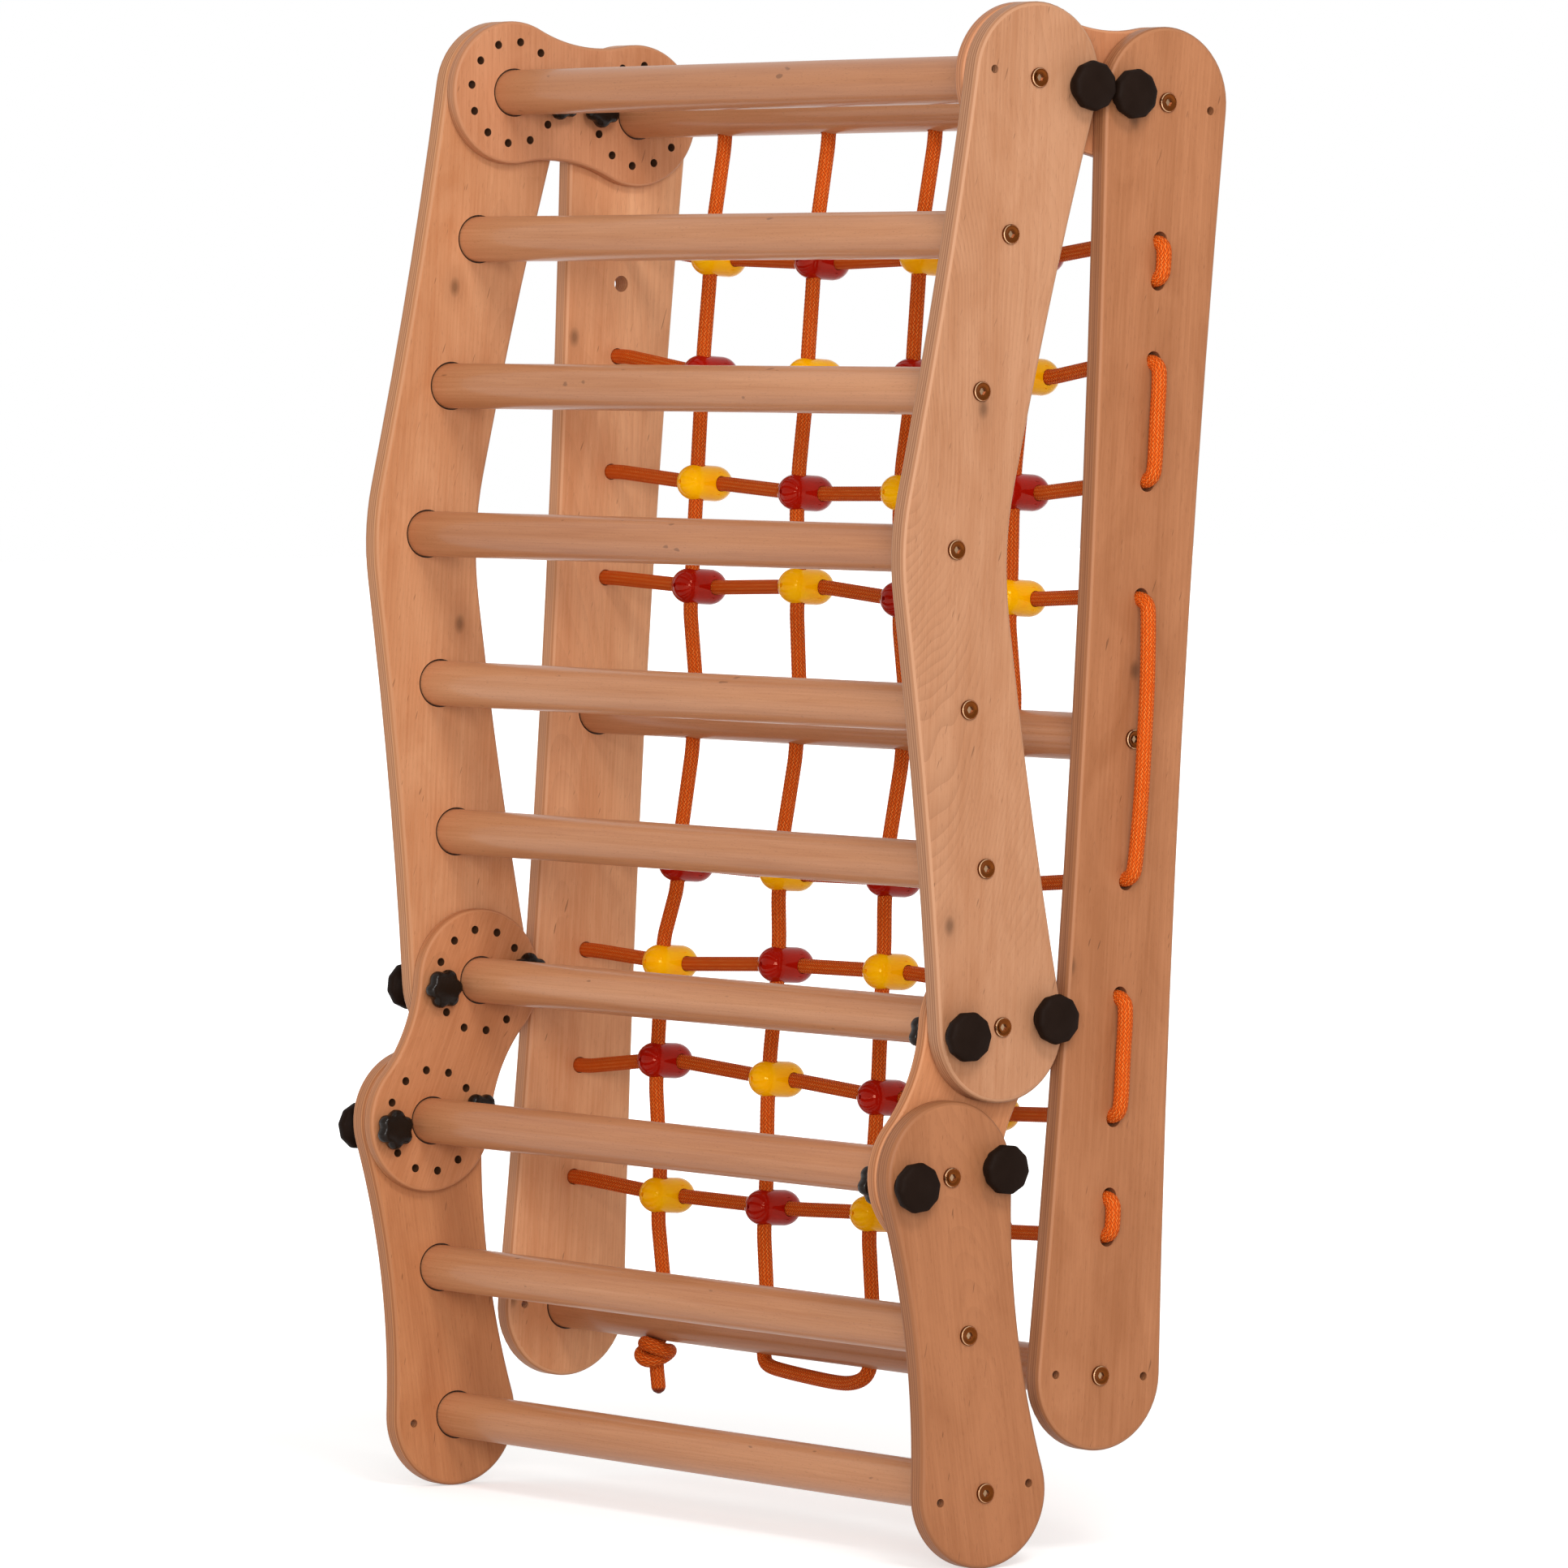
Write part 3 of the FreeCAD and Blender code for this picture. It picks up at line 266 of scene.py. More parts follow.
# Plies of the edges
PLY = 1.4 * MM
FACE_PLY_SHARE = 0.12
PALE_PLY = (1.05, 1.08, 1.10)
DARK_PLY = 0.82
# Painted shade in the gap round a rung's seat and in the lock holes
SEAT_GAP = 0.65 * MM
SEAT_DEPTH = 0.1
SEAT_GAP_SHADE = (0.028, 0.012, 0.006)
LOCK_HOLE_SHADE = (0.020, 0.009, 0.005)
LOCK_SHADE_COVER = 0.85
# Relief of the grain, with the weights of fleck, streak and growth line in a veneer's
VENEER_RELIEF = 0.05 * MM
VENEER_HEIGHTS = (-0.6, 0.6, -0.3)
RUNG_RELIEF = 0.04 * MM
# Roughness: how much the streaks add, and what they add it to
VENEER_ROUGH = (0.16, 0.40)
RUNG_ROUGH = (0.14, 0.36)


def growth_lines(shader, board):
    """Lines round a centre, drawn out along the grain: 0 in early wood, 1 at each line."""
    values = {"Vector": shader.place, "Location": (0, *board.centre),
              "Rotation": (-math.radians(board.lean), 0, 0),
              "Scale": (LINE_FLATNESS, 1, board.stretch)}
    local = shader.add("Mapping", values, vector_type="TEXTURE").outputs[0]
    bend = shader.grain(local, *LINE_BEND)
    patch = shader.grain(local, *LINE_PATCH, shift=PATCH_SHIFT)
    phase = shader.weighted((shader.length(local), bend), (1 / LINE_SPACING, LINE_SWAY))
    line = shader.math("POWER", shader.math("FRACT", phase), LINE_SHARPNESS)
    shown = shader.range(patch, GROWTH_LINES.start, GROWTH_LINES.full, LINE_LEAST, 1.0)
    return shader.math("MULTIPLY", line, shown)


def veneer(shader, board, turned, streak):
    """Colour of a board's faces, and the height of their grain."""
    # Tone in broad bands along the grain and in clouds
    broad = shader.grain(turned, *VENEER_BROAD)
    cloud = shader.grain(turned, *VENEER_CLOUD)
    tone = shader.weighted((broad, cloud, streak), VENEER_WEIGHTS)
    face = shader.mix(shader.range(tone, *VENEER_TONES), board.dark, board.light)
    # Growth lines, then short dark flecks and mineral streaks
    line = growth_lines(shader, board)
    face = shader.stain(face, line, GROWTH_LINES._replace(cover=board.figure), board.dark)
    fleck = shader.mask(shader.grain(turned, *VENEER_FLECK), FLECKS)
    face = shader.stain(face, fleck, FLECKS, board.dark)
    slanted = shader.scaled(turned, (1, 1, 1), turn=(MINERAL_SLANT, 0, 0))
    mineral = shader.mask(shader.grain(slanted, *VENEER_MINERAL), MINERALS)
    face = shader.stain(face, mineral, MINERALS, board.dark)
    # Small knots, few and far between
    parts = shader.split(turned)
    flat = [shader.math("MULTIPLY", part, cells) for part, cells in zip(parts[1:], KNOT_CELLS)]
    flat = shader.add("CombineXYZ", {0: flat[0], 1: flat[1]}).outputs[0]
    values = {"Vector": flat, "Scale": 1.0}
    cells = shader.add("TexVoronoi", values, voronoi_dimensions="2D").outputs
    chosen = shader.math("GREATER_THAN", shader.split(cells["Color"])[0], KNOTLESS)
    for mark in (KNOT_HALOS, KNOT_HEARTS):
        mask = shader.math("MULTIPLY", shader.mask(cells["Distance"], mark), chosen)
        face = shader.stain(face, mask, mark, board.dark)
    return face, shader.weighted((fleck, streak, line), VENEER_HEIGHTS)


def edge_plies(shader, board, turned, depth, seed):
    """Colour of a board's edges: by depth in plies, each ply with its own tone."""
    number = shader.math("FLOOR", depth)
    odd = shader.math("MODULO", number, 2.0)
    values = {"W": shader.math("ADD", number, seed)}
    own = shader.add("TexWhiteNoise", values, noise_dimensions="1D").outputs["Value"]
    drift = shader.grain(turned, *EDGE_DRIFT)
    tone = shader.weighted((odd, own, drift), EDGE_WEIGHTS)
    pale = [channel * factor for channel, factor in zip(board.light, PALE_PLY)]
    ply = shader.mix(tone, pale, shade(board.dark, DARK_PLY))
    glue = shader.mask(shader.math("PINGPONG", depth, 0.5), GLUE_LINES)
    return shader.stain(ply, glue, GLUE_LINES, board.dark)


def seat_gap_shade(shader, spot, depth, seats):
    """1 in the narrow gap round each rung that stands in the inner face, where painted shade goes."""
    gaps = 0.0
    for seat in seats:
        away = shader.distance(spot, seat)
        ring = shader.math("COMPARE", away, RUNG_RADIUS + SEAT_GAP, SEAT_GAP)
        gaps = shader.math("MAXIMUM", ring, gaps)
    return shader.math("MULTIPLY", gaps, shader.math("LESS_THAN", depth, SEAT_DEPTH))


def lock_holes(shader, spot, seat, phase):
    """1 in the ring of lock holes round one pivot, one hole to each step of its lock, where painted shade goes."""
    _, y, z = shader.split(shader.place)
    across, up = shader.math("SUBTRACT", y, seat[1]), shader.math("SUBTRACT", z, seat[2])
    away = shader.distance(spot, seat)
    turn = shader.math("SUBTRACT", shader.math("ARCTAN2", up, across), phase)
    turn = shader.math("WRAP", turn, LOCK_STEP / 2, -LOCK_STEP / 2)
    outward = shader.math("MULTIPLY", away, shader.math("COSINE", turn))
    outward = shader.math("SUBTRACT", outward, LOCK_RADIUS)
    aside = shader.math("MULTIPLY", away, shader.math("SINE", turn))
    near = shader.math("MULTIPLY_ADD", outward, outward, shader.math("MULTIPLY", aside, aside))
    return shader.math("LESS_THAN", near, LOCK_HOLE * LOCK_HOLE)


def plywood(name, board, inner, outer, seats, locks, seed):
    """Beech plywood: a figured face veneer whose grain follows the board, plies on the edges, and painted shade in
    the rungs' seat gaps and in the lock holes.
    """
    shader = Shader(name)
    turned = shader.scaled(shader.place, (1, 1, 1), turn=(math.radians(board.lean), 0, 0),
                           shift=(0, seed, seed * SEED_RISE))
    streak = shader.grain(turned, *VENEER_STREAK)
    face, height = veneer(shader, board, turned, streak)
    # Depth from the inner face, counted in plies
    plies = round((outer - inner) / PLY)
    x = shader.math("ABSOLUTE", shader.split(shader.place)[0])
    depth = shader.math("MULTIPLY", shader.math("SUBTRACT", x, inner), plies / (outer - inner))
    edge = shader.math("MULTIPLY", shader.math("GREATER_THAN", depth, FACE_PLY_SHARE),
                       shader.math("LESS_THAN", depth, plies - FACE_PLY_SHARE))
    colour = shader.mix(edge, face, edge_plies(shader, board, turned, depth, seed))
    # Painted shade in the gaps round the rungs' seats and in the deep lock holes, placed in the plane of the board
    spot = shader.scaled(shader.place, (0, 1, 1))
    colour = shader.mix(seat_gap_shade(shader, spot, depth, seats), colour, SEAT_GAP_SHADE)
    for seat, phase in locks:
        hole = lock_holes(shader, spot, seat, phase)
        colour = shader.mix(shader.math("MULTIPLY", hole, LOCK_SHADE_COVER), colour, LOCK_HOLE_SHADE)
    height = shader.math("MULTIPLY", height, shader.math("SUBTRACT", 1.0, edge))
    rough = shader.math("MULTIPLY_ADD", streak, *VENEER_ROUGH)
    return shader.finish(Base_Color=colour, Roughness=rough, Specular_IOR_Level=0.2,
                         Normal=shader.bump(height, VENEER_RELIEF, strength=0.5))


def beech(name, light, dark):
    """Turned beech rung: grain and short ray flecks along X under a thin lacquer."""
    shader = Shader(name)
    place = shader.place
    broad = shader.grain(place, *RUNG_BROAD)
    lines = shader.grain(place, *RUNG_LINES)
    streak = shader.grain(place, *RUNG_STREAK)
    fleck = shader.mask(shader.grain(place, *RUNG_FLECK), RUNG_FLECKS)
    spots = shader.mask(shader.grain(place, *RUNG_SPOT), RUNG_SPOTS)
    tone = shader.weighted((broad, lines, streak), RUNG_WEIGHTS)
    colour = shader.mix(shader.range(tone, *RUNG_TONES), dark, light)
    colour = shader.stain(colour, fleck, RUNG_FLECKS, dark)
    colour = shader.stain(colour, spots, RUNG_SPOTS, dark)
    rough = shader.math("MULTIPLY_ADD", streak, *RUNG_ROUGH)
    normal = shader.bump(shader.math("SUBTRACT", streak, fleck), RUNG_RELIEF, strength=0.5)
    return shader.finish(Base_Color=colour, Roughness=rough, Normal=normal,
                         Specular_IOR_Level=0.15, Coat_Weight=0.22, Coat_Roughness=0.14)


# Moulded plastic: cycles of its wear per metre, how much paler it gets, and its relief
WEAR_CYCLES = 60.0
WEAR_GAIN, WEAR_LIFT = 1.18, 0.001
PLASTIC_RELIEF = 0.05 * MM
# Range of a noise from its low patches to its high ones, for patches and for gloss
PATCH_RANGE = (0.35, 0.7)
GLOSS_RANGE = (0.3, 0.7)


def moulded(name, base, rough, grain, specular, tint=(1, 1, 1)):
    """Moulded plastic with a fine grain, slight wear tone and uneven gloss."""
    shader = Shader(name)
    fine = shader.noise(shader.place, grain, 2.0)
    wear = shader.range(shader.noise(shader.place, WEAR_CYCLES, 2.0), *PATCH_RANGE)
    worn = [min(1.0, channel * WEAR_GAIN + WEAR_LIFT) for channel in base]
    colour = shader.mix(wear, base, worn)
    rough = shader.range(fine, *GLOSS_RANGE, *rough)
    normal = shader.bump(fine, PLASTIC_RELIEF, strength=0.2)
    return shader.finish(Base_Color=colour, Roughness=rough, Normal=normal,
                         Specular_IOR_Level=specular, Specular_Tint=(*tint, 1))


# Bolt heads: what counts as the bevelled edge with its painted highlight and as the socket's floor with its
# painted glint, and the metal's wear
RIM_FACING = 0.85
RIM_RISE = 0.04 * MM
SOCKET_SHARE = 0.2
SOCKET_GLINT_TONE = 0.5
BRONZE_CYCLES = 900.0
BRONZE_COVER, BRONZE_TONE = 0.6, 1.4
BRONZE_ROUGH = (0.16, 0.32)


def bronzed(name, dish_dark_reflection, rim_highlight):
    """Bolt heads, told apart by height: a painted highlight on the bevelled edge, dark bronze as a painted dark
    reflection in the hollow of the head, paler where worn, and a painted glint on the socket's floor.
    """
    shader = Shader(name)
    x = shader.math("ABSOLUTE", shader.split(shader.place)[0])
    height = shader.math("SUBTRACT", x, HALF_WIDTH)
    facing = shader.math("ABSOLUTE", shader.split(shader.coordinates["Normal"])[0])
    worn = shader.noise(shader.place, BRONZE_CYCLES, 3.0)
    # Where the painted highlight on the bevelled edge and the painted glint on the socket's floor go
    highlight_bevel = shader.math("MULTIPLY", shader.math("LESS_THAN", facing, RIM_FACING),
                        shader.math("GREATER_THAN", height, BOLT_DISH + RIM_RISE))
    floor = shader.math("COMPARE", height, BOLT_SOCKET, BOLT_SOCKET * SOCKET_SHARE)
    # Painted dark reflection: dark bronze, paler in worn patches
    cover = shader.math("MULTIPLY", worn, BRONZE_COVER)
    colour = shader.mix(cover, dish_dark_reflection, shade(dish_dark_reflection, BRONZE_TONE))
    colour = shader.mix(highlight_bevel, colour, rim_highlight)
    colour = shader.mix(floor, colour, shade(rim_highlight, SOCKET_GLINT_TONE))
    rough = shader.range(worn, *GLOSS_RANGE, *BRONZE_ROUGH)
    return shader.finish(Base_Color=colour, Roughness=rough, Metallic=1.0)


# Braid of the ropes: rows of stitches round the rope, their length along it, the rings of
# vertices to a stitch, the rise of a stitch, its slant and its offset from row to row
BRAID_ROWS = 24
BRAID_PITCH = 3.3 * MM
BRAID_RINGS = 2
BRAID_RISE = 0.36 * MM
BRAID_SLANT = 0.7
BRAID_OFFSET = 0.5
BRAID_RELIEF = 0.35 * MM
# Height of a stitch: its sharpness, and how much it rises to the middle of its row
STITCH_SHARPNESS = 0.7
ROW_RISE, ROW_BASE = 0.4, 0.6
# Filaments of a stitch: cycles across and along it, and their height
FILAMENTS = (24.0, 9.0)
FILAMENT_RISE = 0.08
# Colour of a stitch by its height, down to painted shade in the grooves, of patches and of each stitch by itself
STITCH_RANGE = (0.25, 0.85)
PATCH_CYCLES, PATCH_COVER = 90.0, 0.4
OWN_COVER = 0.3
# Painted highlights on the stitches: where they lie along and across a stitch, and how strong each stitch has them
PAINTED_GLINT_ALONG, PAINTED_GLINT_ACROSS = (0.75, 0.95), (0.55, 0.80)
PAINTED_GLINT_OWN, PAINTED_GLINT_COVER = (0.9, 0.3), (0.15, 0.7)
# Melted ends, in stitches from the end: where the burn starts and where it is full
MELT_START, MELT_FULL = 1.6, 0.8
MELT_COVER = 0.85
# Roughness: what the melting adds, and what it adds it to
ROPE_ROUGH = (-0.3, 0.62)
ROPE_ORANGE = (0.86, 0.122, 0.005)
ROPE_DEEP = (0.60, 0.082, 0.005)
# Painted shade in the grooves between the stitches
ROPE_GROOVE_SHADE = (0.20, 0.020, 0.002)
# Painted highlight of the stitches that catch the light
ROPE_PAINTED_GLINT = (1.0, 0.42, 0.11)
ROPE_BURNT = (0.10, 0.010, 0.006)
ROPE_SHEEN = (1.0, 0.45, 0.2, 1.0)


def braided(name, stitches):
    """Braided rope: rows of slanting stitches made of fine filaments, melted at both ends, with painted shade in
    the grooves and painted highlights on some stitches.
    """
    shader = Shader(name)
    across, along, _ = shader.split(shader.add("UVMap", uv_map="braid").outputs[0])
    local = shader.math("FRACT", across)
    odd = shader.math("FLOOR", shader.math("MODULO", across, 2.0))
    leaning = shader.math("ABSOLUTE", shader.math("SUBTRACT", odd, local))
    phase = shader.math("MULTIPLY_ADD", odd, BRAID_OFFSET, along)
    phase = shader.math("MULTIPLY_ADD", leaning, BRAID_SLANT, phase)
    stitch = shader.math("ABSOLUTE", shader.wave(phase))
    row = shader.math("MULTIPLY_ADD", shader.wave(local), ROW_RISE, ROW_BASE)
    height = shader.math("MULTIPLY", shader.math("POWER", stitch, STITCH_SHARPNESS), row)
    filaments = shader.math("SINE", shader.weighted((leaning, phase), FILAMENTS))
    # Each stitch has a tone of its own, and some get a painted highlight
    values = {0: shader.math("FLOOR", across), 1: shader.math("FLOOR", phase)}
    values = {"Vector": shader.add("CombineXYZ", values).outputs[0]}
    own = shader.add("TexWhiteNoise", values, noise_dimensions="2D").outputs["Value"]
    patch = shader.range(shader.noise(shader.place, PATCH_CYCLES, 2.0), *PATCH_RANGE)
    # Painted shade where a stitch is low, in the grooves
    colour = shader.mix(shader.range(height, *STITCH_RANGE), ROPE_GROOVE_SHADE, ROPE_ORANGE)
    colour = shader.mix(shader.math("MULTIPLY", patch, PATCH_COVER), colour, ROPE_DEEP)
    colour = shader.mix(shader.math("MULTIPLY", own, OWN_COVER), colour, ROPE_DEEP)
    painted_glint = shader.range(stitch, *PAINTED_GLINT_ALONG)
    painted_glint = shader.math("MULTIPLY", painted_glint, shader.range(leaning, *PAINTED_GLINT_ACROSS))
    painted_glint = shader.math("MULTIPLY", painted_glint, shader.range(own, *PAINTED_GLINT_OWN, *PAINTED_GLINT_COVER))
    colour = shader.mix(painted_glint, colour, ROPE_PAINTED_GLINT)
    # Burnt and smooth where the ends were melted
    start = shader.range(along, MELT_START, MELT_FULL)
    end = shader.range(along, stitches - MELT_START, stitches - MELT_FULL)
    ends = shader.math("MAXIMUM", start, end)
    colour = shader.mix(shader.math("MULTIPLY", ends, MELT_COVER), colour, ROPE_BURNT)
    rough = shader.math("MULTIPLY_ADD", ends, *ROPE_ROUGH)
    relief = shader.math("MULTIPLY_ADD", filaments, FILAMENT_RISE, height)
    return shader.finish(Base_Color=colour, Roughness=rough, Specular_IOR_Level=0.09,
                         Sheen_Weight=0.04, Sheen_Tint=ROPE_SHEEN, Sheen_Roughness=0.4,
                         Normal=shader.bump(relief, BRAID_RELIEF))


# Each board: lean of its grain in degrees, light and dark tone, and the strength, centre
# and stretch of its growth lines
Board = namedtuple("Board", "lean light dark figure centre stretch")
# The tones are partly each board's own and partly painted light: the left boards, whose inner faces stand in the
# shade of the right ones, are made paler
BOARDS = {
    "upper_panel_right": Board(
        2.6, (0.495, 0.243, 0.130), (0.392, 0.167, 0.077), 0.30, (-0.19, 0.93), 3.2),
    "upper_panel_left": Board(
        2.6, (0.600, 0.285, 0.140), (0.470, 0.185, 0.075), 0.16, (-0.02, 0.40), 9.0),
    "rear_panel_right": Board(
        3.6, (0.422, 0.172, 0.076), (0.318, 0.117, 0.045), 0.14, (0.16, 0.55), 12.0),
    "rear_panel_left": Board(
        3.6, (0.710, 0.355, 0.184), (0.565, 0.238, 0.105), 0.14, (0.02, 0.30), 10.0),
    "lower_panel_right": Board(
        -7.4, (0.396, 0.157, 0.067), (0.300, 0.108, 0.041), 0.12, (-0.06, 0.05), 7.0),
    "lower_panel_left": Board(
        -7.4, (0.520, 0.215, 0.090), (0.400, 0.145, 0.055), 0.14, (-0.18, 0.20), 7.0),
    "top_link_plate_right": Board(
        0.0, (0.560, 0.240, 0.115), (0.440, 0.165, 0.070), 0.12, (-0.05, 0.90), 9.0),
    "top_link_plate_left": Board(
        0.0, (0.580, 0.260, 0.130), (0.440, 0.170, 0.072), 0.12, (0.07, 0.95), 9.0),
    "mid_link_plate_right": Board(
        22.6, (0.560, 0.235, 0.105), (0.430, 0.160, 0.062), 0.14, (-0.20, 0.20), 8.0),
    "mid_link_plate_left": Board(
        22.6, (0.560, 0.235, 0.105), (0.430, 0.160, 0.062), 0.14, (-0.16, 0.25), 8.0),
}
# Each board's place in the noise: a step from one board to the next, and its share upwards
SEED_STEP = 1.37
SEED_RISE = 0.7
# Start of the names of the rungs that stand in each kind of board
SEATED = {"upper_panel": "upper_rung_", "lower_panel": "lower_rung_", "rear_panel": "rear_rung_",
          "top_link_plate": "top_", "mid_link_plate": "mid_link_rung_"}
rung_wood = beech("rung_beech", light=(0.590, 0.272, 0.132), dark=(0.450, 0.178, 0.072))
# Darker copies of the beech for some rungs: a darker, redder one and one a little darker
ruddy_wood = beech("ruddy_rung_beech", light=(0.490, 0.208, 0.094), dark=(0.370, 0.136, 0.052))
tan_wood = beech("tan_rung_beech", light=(0.545, 0.236, 0.109), dark=(0.412, 0.154, 0.060))
RUNG_WOODS = {"top_front_rung": ruddy_wood, "upper_rung_3": tan_wood,
              "rear_rung_bottom": tan_wood, "mid_link_rung_lower": tan_wood}
bronze = bronzed("bolt_bronze", dish_dark_reflection=(0.115, 0.030, 0.0055), rim_highlight=(0.62, 0.38, 0.22))
bead_yellow = moulded("bead_yellow", base=(1.0, 0.435, 0.0006), rough=(0.06, 0.12),
                      grain=700.0, specular=0.26, tint=(1.0, 0.75, 0.2))
bead_red = moulded("bead_red", base=(0.335, 0.0050, 0.0012), rough=(0.06, 0.12),
                   grain=700.0, specular=0.30, tint=(1.0, 0.42, 0.28))
knob_black = moulded("outer_knob_black", base=(0.0105, 0.0050, 0.0030), rough=(0.45, 0.65),
                     grain=2500.0, specular=0.04)
star_black = moulded("star_knob_black", base=(0.0098, 0.0054, 0.0032), rough=(0.16, 0.28),
                     grain=1500.0, specular=0.15)


def dress(node, material):
    for slot in nodes[node].material_slots:
        slot.material = material


def board_seats(board):
    """Centres of the rungs that stand in this board, in its plane."""
    prefix = SEATED[board.rsplit("_", 1)[0]]
    seats = []
    for rung in sorted(nodes):
        if (rung.startswith(prefix) and "rung" in rung
                and not rung.endswith(("bolts", "inserts"))):
            low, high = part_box(rung)
            seats.append((0, (low.y + high.y) / 2, (low.z + high.z) / 2))
    return seats


def lock_phase(seat):
    """Direction of a lock hole round this pivot, which is where a star knob stands."""
    for name, place in hinges.items():
        away = Vector((place.y - seat[1], place.z - seat[2]))
        if name.startswith("star") and abs(away.length - LOCK_RADIUS) < MM:
            return math.atan2(away.y, away.x)
    raise ValueError("no star knob stands round the pivot at %s" % (seat,))


seed = 0.0
for node in sorted(nodes):
    if node in BOARDS:
        seed += SEED_STEP
        seats = board_seats(node)
        inner, outer, locks = PANEL_INNER, HALF_WIDTH, []
        if "plate" in node:
            inner, outer = PLATE_INNER, PANEL_INNER
            locks = [(seat, lock_phase(seat)) for seat in seats]
        wood = plywood(node + "_plywood", BOARDS[node], inner, outer, seats, locks, seed)
        dress(node, wood)
    elif node.endswith(("bolts", "fixings", "inserts")):
        dress(node, bronze)
    elif "rung" in node:
        dress(node, RUNG_WOODS.get(node, rung_wood))
    elif node.startswith("yellow"):
        dress(node, bead_yellow)
    elif node.startswith("red"):
        dress(node, bead_red)

# Lock knobs: steps to a lobe, lobes and their depth in millimetres, and the turns at rest
KNOB_STEPS = 10
OUTER_LOBES, OUTER_DEPTH = 10, 0.8
STAR_LOBES, STAR_DEPTH = 6, 2.6
REST_TURNS = (0, 24, 11, 33, 6, 17)
CORNER_SHARE = 0.8
LOBE_FATNESS = 1.7
CAP_RISE = 0.05
STUD = 3.0
# Rings of each knob's body, as radius, height and share of the lobes, in millimetres
OUTER_RINGS = [
    (STUD, -17.7, 0), (STUD, 0, 0), (11.6, 0, 0), (12, 0.5, 0), (11.6, 6.2, 0.1),
    (12.6, 7.8, 0.2), (16.2, 8.6, 0.6), (18.0, 9.6, 0.9), (18.8, 11.2, 1.0), (19.0, 13.4, 1.0),
    (19.0, 15.2, 1.0), (18.7, 16.8, 1.0), (17.9, 18.1, 0.9), (16.6, 19.0, 0.75),
    (14.6, 19.7, 0.5), (11.6, 20.2, 0.25), (8.0, 20.6, 0.1), (4.0, 20.9, 0)]
STAR_RINGS = [
    (STUD, -11.7, 0), (STUD, 0, 0), (8.6, 0, 0), (9, 0.4, 0), (8.8, 3.4, 0), (10.2, 4.4, 0.1),
    (13.6, 4.9, 0.6), (15.3, 6.0, 0.9), (15.9, 7.6, 1.0), (16, 9.6, 1.0), (15.8, 11.6, 1.0),
    (15.1, 13.2, 0.95), (13.8, 14.4, 0.8), (11.8, 15.0, 0.5), (9.2, 15.2, 0.2), (5.0, 15.3, 0)]


def polygon_share(turns, corners):
    """How far inside the corners' circle a polygon with rounded corners lies, from 0 to 1."""
    pitch = 2 * math.pi / corners
    off = np.mod(turns, pitch) - pitch / 2
    deepest = CORNER_SHARE * (1 / math.cos(pitch / 2) - 1)
    return 1 - np.clip((1 / np.cos(off) - 1) / deepest, 0, 1)


def lobe_share(turns, lobes):
    """The same for fat round lobes with narrower flutes between them."""
    return (0.5 - 0.5 * np.cos(lobes * turns)) ** LOBE_FATNESS


def lobed_knob(node, rings, lobes, depth, outline, material):
    """A smooth knob on its own lock place, facing away from its board."""
    centre = hinges[node + "_turn"]
    side = 1 if node.endswith("right") else -1
    outer = node.startswith("outer")
    facing = side if outer else -side
    base = side * (HALF_WIDTH if outer else PLATE_INNER)
    count = lobes * KNOB_STEPS
    turns = np.arange(count) / count * 2 * math.pi
    rest_turn = math.radians(REST_TURNS[sum(node.encode()) % len(REST_TURNS)])
    vertices = []
    for radius, height, share in rings:
        reach = (radius - depth * share * outline(turns, lobes)) * MM
        for turn, out in zip(turns + rest_turn, reach):
            vertices.append((base + facing * height * MM, centre.y + out * math.sin(turn),
                             centre.z + out * math.cos(turn)))
    faces = []
    for low in range(0, (len(rings) - 1) * count, count):
        for step in range(count):
            after = (step + 1) % count
            faces.append((low + step, low + after, low + count + after, low + count + step))
    foot, tip = len(vertices), len(vertices) + 1
    for height in (rings[0][1], rings[-1][1] + CAP_RISE):
        vertices.append((base + facing * height * MM, centre.y, centre.z))
    top = (len(rings) - 1) * count
    for step in range(count):
        after = (step + 1) % count
        faces.append((foot, after, step))
        faces.append((tip, top + step, top + after))
    if facing > 0:
        faces = [tuple(reversed(face)) for face in faces]
    mesh = bpy.data.meshes.new(node + "_grip")
    mesh.from_pydata(vertices, [], faces)
    mesh.shade_smooth()
    mesh.materials.append(material)
    piece = add_object(node + "_grip", mesh)
    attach(piece, node)
    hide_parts(node)


for node in sorted(nodes):
    if node.startswith("outer_knob"):
        lobed_knob(node, OUTER_RINGS, OUTER_LOBES, OUTER_DEPTH, polygon_share, knob_black)
    elif node.startswith("star_knob"):
        lobed_knob(node, STAR_RINGS, STAR_LOBES, STAR_DEPTH, lobe_share, star_black)


# The net's rope holes, from the top pivot down: each share is its distance from the middle
# of the rear ladder, in half lengths, and is used above and below the middle
HALF_LENGTH = rear_length / 2
HOLE_SHARES = (0.224, 0.402, 0.596, 0.718, 0.784)
ROW_HOLES = (0, 2, 3, 4, 5, 6, 7, 9)
ANCHOR_HOLES = (1, 8)
